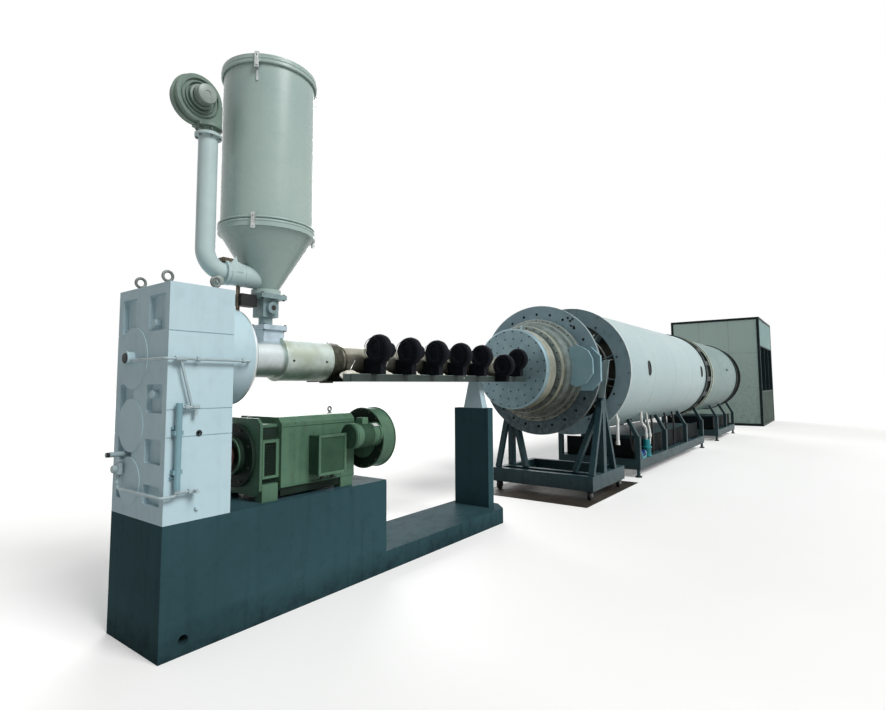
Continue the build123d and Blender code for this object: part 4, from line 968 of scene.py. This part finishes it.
# Sight slots: oblong windows, 150 by 250 mm, of dark glass in a black rubber edge strip.
# One sits near each end of the first tank, and two screwed spray fittings on the second.
def shell_patch(x, z, length, height, proud, corner=0.5, steps=48):
    """A rounded oblong laid on the shell: its outline is a circle raised to a power, wrapped to the radius.

    Rows go in from its edge: up its side, over its lip and to its middle."""
    turn = np.linspace(0, 2 * math.pi, steps, endpoint=False)
    power = 1 - corner / 2
    across = np.sign(np.cos(turn)) * np.abs(np.cos(turn)) ** power * length / 2
    around = np.sign(np.sin(turn)) * np.abs(np.sin(turn)) ** power * height / 2
    inset = np.array([1.0, 1.0, 0.96, 0.90, 0.86, 0.86, 0.5, 0.0])[:, None]
    glass = 0.0015
    rise = np.array([-0.004, proud, proud + 0.002, proud + 0.002, proud, glass, glass, glass])[:, None]
    arc = (math.asin((z - axis_z) / tank_r) * tank_r + inset * around) / tank_r
    radius = tank_r + rise + 0 * arc
    grid = np.stack([x + inset * across, -radius * np.cos(arc), axis_z + radius * np.sin(arc)], -1)
    return grid.reshape(-1, 3), quads(len(inset), steps)


slots = [shell_patch(x, z, 0.15, 0.25, 0.010) for x, z in ((6.745, 1.865), (10.90, 1.875))]
piece("tank_sight_slots", slots, cap_rubber)
spray = [(-0.030, 0), (-0.030, 0.018), (-0.012, 0.022), (-0.012, 0.034), (0.012, 0.034), (0.012, 0)]
fitting = lathe(spray, axis="Y", steps=12)
places = [(14.41, -0.985, 1.975), (14.30, -0.985, 1.985)]
piece("tank_spray_fittings", [copies(fitting, places)], worn_hopper)

# Shell welds: each shell is rolled from sheets that meet in a flat weld round the tank.
# The bead is 10 mm wide and 1.5 mm proud, under the paint.
weld = [(-0.005, 0.992), (-0.003, 0.9945), (0.003, 0.9945), (0.005, 0.992)]
welds = [lathe(weld, (x, 0, axis_z), steps=160) for x in (7.10, 8.515, 9.93)]
piece("tank_shell_welds", welds, tank_enamel)
welds = [lathe(weld, (x, 0, axis_z), steps=160) for x in (13.37, 14.64)]
piece("cooling_shell_welds", welds, grey_tank)

# Ring fittings: hexagon screws and small water nozzles round the front ring, zinc plated and wet-stained.
# The ring's outer edge is a lighter band.
hexagon = stud(-0.011, 0.001, 0.012)
rings = [bolt_ring(hexagon, ring_x, 0.985, 12, 0.04), bolt_ring(hexagon, 12.110, 1.006, 24, 0.04)]
piece("ring_screws", rings, zinc)
nozzle_profile = [
    (-0.030, 0), (-0.030, 0.007), (-0.016, 0.011), (-0.012, 0.011),
    (-0.012, 0.016), (0.001, 0.016), (0.001, 0),
]
nozzle = lathe(nozzle_profile, steps=10)
piece("ring_nozzles", [bolt_ring(nozzle, ring_x, 0.835, 9, 0.1)], oiled_bolts)
lip_white = enamel("light ring edge band", "#C9D4D3", "#B4C2C3", "#6B7677", rough=0.35, dirt=0.3, grain=0.1)
edge_profile = [(-0.002, 1.016), (-0.004, 1.020), (0.002, 1.0235), (0.058, 1.0235), (0.060, 1.016)]
piece("ring_edge", [lathe(edge_profile, (ring_x, 0, axis_z), steps=160)], lip_white)


# Tank mouth: twelve flat ribs, two round spray manifolds and bare drop pipes stand before the bulkhead.
# The ribs share the ring's enamel; the pipes are bare steel, wet and stained.
def spokes(shape, number, first):
    """The shape turned by equal steps about the line's axis, beginning at the angle first."""
    points, faces = shape
    turns = np.arange(number) * 2 * math.pi / number + first
    level, up = np.cos(turns), np.sin(turns)
    zero = 0 * turns
    rows = [(zero + 1, zero, zero), (zero, level, up), (zero, -up, level)]
    spin = np.stack([np.stack(row, -1) for row in rows], 1)
    sides = np.arange(number)[:, None, None] * len(points) + faces[None]
    return (points[None] @ spin + on_axis).reshape(-1, 3), sides.reshape(-1, faces.shape[1])


rib = box((5.722, 0.60, -0.006), (5.955, 0.945, 0.006))
piece("mouth_ribs", [spokes(rib, 12, 0.2)], ring_enamel)
bent = [(0.016 * math.cos(a), 0.62 + 0.016 * math.sin(a)) for a in np.linspace(0, 2 * math.pi, 11)]
outer_bent = [(x, r + 0.16) for x, r in bent]
manifolds = [lathe(bent, (5.80, 0, axis_z), steps=72), lathe(outer_bent, (5.88, 0, axis_z), steps=72)]
drops = []
for a in (0.35, 0.8, 1.25, 1.7, 2.2, 2.9, 3.5, 4.1, 5.2, 5.8):
    c, s = math.cos(a), math.sin(a)
    stations = ((5.80, 0.62), (5.76, 0.70), (5.84, 0.80), (5.975, 0.84))
    route = [(x, r * c, axis_z + r * s) for x, r in stations]
    drops.append(tube(along(route, 6), 0.011, (0.2, -s, c), 8))
pipe_steel = turned(
    "wet stained pipe", "#B7BDBA", "#8E9490", "#4A4638", rough=0.36, clean=2.4, oily=1.2, patch=0.05
)
piece("spray_manifold", manifolds + drops, pipe_steel)
collar_profile = [
    (5.50, 0.503), (5.50, 0.520), (5.512, 0.524), (5.575, 0.524), (5.587, 0.520), (5.587, 0.503),
]
piece("sleeve_collar", [lathe(collar_profile, (0.06, 0, axis_z), steps=96)], sleeve_bronze)

# Neck between the tanks: dark clamp blocks and straps bridge the gap over its drum.
# Cast, oily and uneven; the cooling tank's front ring is a cream-grey casting with a lapped band.
block = box((11.50, 0.935, -0.055), (12.03, 0.985, 0.055))
piece("neck_clamps", [spokes(block, 16, 0.1)], dark_ring, bevel=0.004)
cream = enamel("cream-grey ring enamel", "#A9B3A6", "#B5BFB1", "#6C7367", rough=0.38, dirt=0.3, grain=0.3)
give(cream, "tank_2_front_ring")
lap = hoop(12.030, 12.106, 0.992, 0.9965, on_axis, steps=160, shut=False)
piece("neck_band", [lap], cream)

# Tank frames: welded square tube with leaning struts, dark teal enamel, splashed low down.
# Water stands in a folded trough between the rails.
frame_enamel = enamel(
    "dark teal frame enamel", "#2A3F44", "#324A4F", "#121A1A",
    rough=0.42, dirt=0.4, foot=0.3, run=0.25, grain=0.3, shine=0.2,
)
give(frame_enamel, "tank_1_frame", "tank_2_frame")
trough = enamel(
    "black bitumen-painted trough", "#121617", "#181D1E", "#1F2423",
    rough=0.6, dirt=0.4, grain=0.2, shine=0.04,
)
sides = [box((x0, -0.616, 0.302), (x1, -0.609, 0.641)) for x0, x1 in ((6.96, 12.02), (14.11, 16.75))]
sides += [box((x - 0.003, -0.612, 0.150), (x + 0.004, 0.612, 0.641)) for x in (6.955, 14.105)]
piece("trough_sides", sides, trough)

# Pumps: a teal cast water pump standing on the rail and a blue motor with its vacuum pump beside it.
# Ribbed casings, one coat of bright enamel.
teal = enamel("teal pump enamel", "#167880", "#1D858C", "#0D3134", rough=0.34, dirt=0.3, grain=0.12)
give(teal, "tank_pumps")
blue = enamel("blue motor enamel", "#22407E", "#2A4A8B", "#101B33", rough=0.36, dirt=0.3, grain=0.1)
pump_y = -0.69
pump = (7.46, pump_y, 0.30)
casing_profile = [
    (-0.001, 0), (0, 0.085), (0.025, 0.088), (0.04, 0.070), (0.13, 0.070), (0.15, 0.088), (0.175, 0.088),
    (0.185, 0.068), (0.27, 0.068), (0.298, 0.055), (0.305, 0),
]
ribs = [hoop(z, z + 0.006, 0.060, 0.076, pump, "Z", 32) for z in np.arange(0.05, 0.13, 0.016)]
piece("water_pump_casing", [lathe(casing_profile, pump, "Z", 40)] + ribs, teal)
motor_z = 0.379
motor_profile = [(7.060, 0), (7.060, 0.056), (7.075, 0.062), (7.22, 0.062), (7.235, 0.056), (7.235, 0)]
motor = [lathe(motor_profile, (-0.02, pump_y, motor_z), steps=36)]
motor += [hoop(x, x + 0.005, 0.058, 0.067, (0, pump_y, motor_z)) for x in np.arange(7.065, 7.20, 0.014)]
motor.append(box((7.09, pump_y - 0.075, 0.405), (7.16, pump_y - 0.045, 0.445)))
piece("vacuum_motor", motor, blue)


# Water pipes: white moulded PVC with glued elbows, 50 mm pipe from the pumps up to the tank's belly.
# Smooth, faintly yellowed, greyed with dust.
def belly(y):
    """Height of the tank's underside at this distance from its axis: the circle's lower half."""
    return axis_z - math.sqrt(tank_r**2 - y**2)


pvc = enamel("white moulded PVC", "#E6E9E6", "#DADDD6", "#8F9088", rough=0.33, dirt=0.25, grain=0.3)
loop = [
    (7.46, -0.69, 0.60), (7.46, -0.69, 0.70), (7.44, -0.69, 0.80), (7.36, -0.69, 0.85), (7.26, -0.69, 0.88),
    (7.20, -0.69, 0.95), (7.19, -0.69, 1.02), (7.19, -0.69, belly(0.69) + 0.02),
]
elbow = [
    (7.53, -0.69, 0.45), (7.62, -0.69, 0.47), (7.68, -0.69, 0.56), (7.69, -0.69, 0.74), (7.68, -0.66, 0.90),
    (7.68, -0.64, belly(0.64) + 0.02),
]
riser = [(5.86, -0.70, belly(0.70) + 0.02), (5.86, -0.72, 1.02), (5.86, -0.72, 0.84), (5.86, -0.72, 0.65)]
piping = [
    tube(along(loop, 8), 0.024, (0, 1, 0), 14),
    tube(along(elbow, 8), 0.019, (0, 1, 0), 14),
    tube(along(riser, 8), 0.024, (0, 1, 0.2), 14),
]
joints = [(7.46, -0.69, 0.66), (7.19, -0.69, 1.01), (7.69, -0.69, 0.66)]
joints += [(5.86, -0.72, 1.03), (5.86, -0.72, 0.68)]
piping.append(copies(hoop(-0.03, 0.03, 0.018, 0.031, axis="Z", steps=18, shut=False), joints))
piece("white_water_pipes", piping, pvc)

# Drain lines: black hose pushed onto stubs, one from the vacuum pump and three from the frame's foot.
# Matt, dusty, bent by hand up to the tank's belly.
drain_black = enamel("black drain pipe", "#17191A", "#1F2223", "#33322D", rough=0.5, dirt=0.3, grain=0.1)
vacuum_line = [
    (7.02, -0.60, 0.379), (6.96, -0.60, 0.45), (6.93, -0.58, 0.66), (7.02, -0.56, 0.90), (7.10, -0.55, 1.00),
]
bend = [(0, -0.62, 0.30), (0, -0.63, 0.62), (0.05, -0.60, 0.90), (0.1, -0.56, 1.0)]
lines = [tube(along(vacuum_line, 6), 0.016, (0, 1, 0), 10)]
lines += [tube(along(np.array(bend) + (x, 0, 0), 6), 0.020, (0, 1, 0), 10) for x in (8.1, 9.1, 9.7)]
piece("drain_lines", lines, drain_black)

# Enclosure: a welded profile frame with flush sheet panels, powder coated grey-green.
# Panels meet in narrow seams; the frame's profiles are dark, and a tinted window fills its near side.
panel_coat = enamel(
    "grey-green powder coat", "#C6DFD9", "#CAE2DB", "#768C80",
    rough=0.48, dirt=0.10, foot=3.1, run=0.05, grain=1.8, peel=0.3, shine=0.1,
)
give(panel_coat, "cabinet_panels")
profile_coat = enamel(
    "dark profile powder coat", "#222E2E", "#293636", "#171E1E", rough=0.45, dirt=0.25, grain=0.5, shine=0.05
)
give(profile_coat, "cabinet_frame")
tinted = enamel(
    "tinted window film", "#0E1618", "#121B1D", "#1A2323",
    rough=0.4, dirt=0.1, grain=0.8, peel=0.0, shine=0.0,
)
give(tinted, "cabinet_window")
cab_low, cab_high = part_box("cabinet_frame")
panel_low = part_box("cabinet_panels")[0]
face_x, near_y = panel_low.x, panel_low.y
door_y, half_door = 0.374, 0.52
seams = [
    box((face_x - 0.003, cab_low.y + 0.09, z - 0.004), (face_x + 0.001, cab_high.y - 0.09, z + 0.004))
    for z in (1.45, 2.75)
]
seams += [
    box((face_x - 0.003, y - 0.004, 0.09), (face_x + 0.001, y + 0.004, cab_high.z - 0.09))
    for y in (door_y - half_door, door_y + half_door)
]
seam_coat = enamel("shadowed panel seam", "#90A59C", "#98ADA4", "#6C7D76", rough=0.55, dirt=0.2, grain=0.4)
piece("enclosure_seams", seams, seam_coat)

# Near side of the enclosure: sheet panels above and below the window, each with a darker or duller coat.
# Extruded bars divide the window, and the door has a zinc-plated pull.
upper_coat = enamel(
    "pale upper panel coat", "#7A9695", "#829D9B", "#5F7371",
    rough=0.45, dirt=0.1, grain=1.0, peel=0.2, shine=0.02,
)
lower_coat = enamel(
    "darker lower panel coat", "#34413A", "#3B4941", "#262F29",
    rough=0.45, dirt=0.2, grain=1.0, peel=0.2, shine=0.01,
)
win_low, win_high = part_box("cabinet_window")
inner = 0.092
left, right_edge = cab_low.x + inner, cab_high.x - inner
upper = box((left, near_y - 0.004, win_high.z + 0.025), (right_edge, near_y + 0.001, cab_high.z - inner))
lower = box((left, near_y - 0.004, cab_low.z + inner), (right_edge, near_y + 0.001, win_low.z - 0.025))
piece("enclosure_upper_panel", [upper], upper_coat, bevel=0.001)
piece("enclosure_lower_panel", [lower], lower_coat, bevel=0.001)
bars = [
    box((x - 0.03, near_y - 0.008, win_low.z - 0.02), (x + 0.02, near_y + 0.002, win_high.z + 0.02))
    for x in np.linspace(win_low.x, win_high.x, 4)
]
bars += [
    box((win_low.x - 0.02, near_y - 0.008, z - 0.02), (win_high.x + 0.02, near_y + 0.002, z + 0.02))
    for z in (win_low.z, win_high.z)
]
piece("window_bars", bars, profile_coat, bevel=0.002)
pull = box((20.78, near_y - 0.009, 0.94), (20.82, near_y + 0.001, 1.16))
piece("door_pull", [pull], zinc, bevel=0.003)
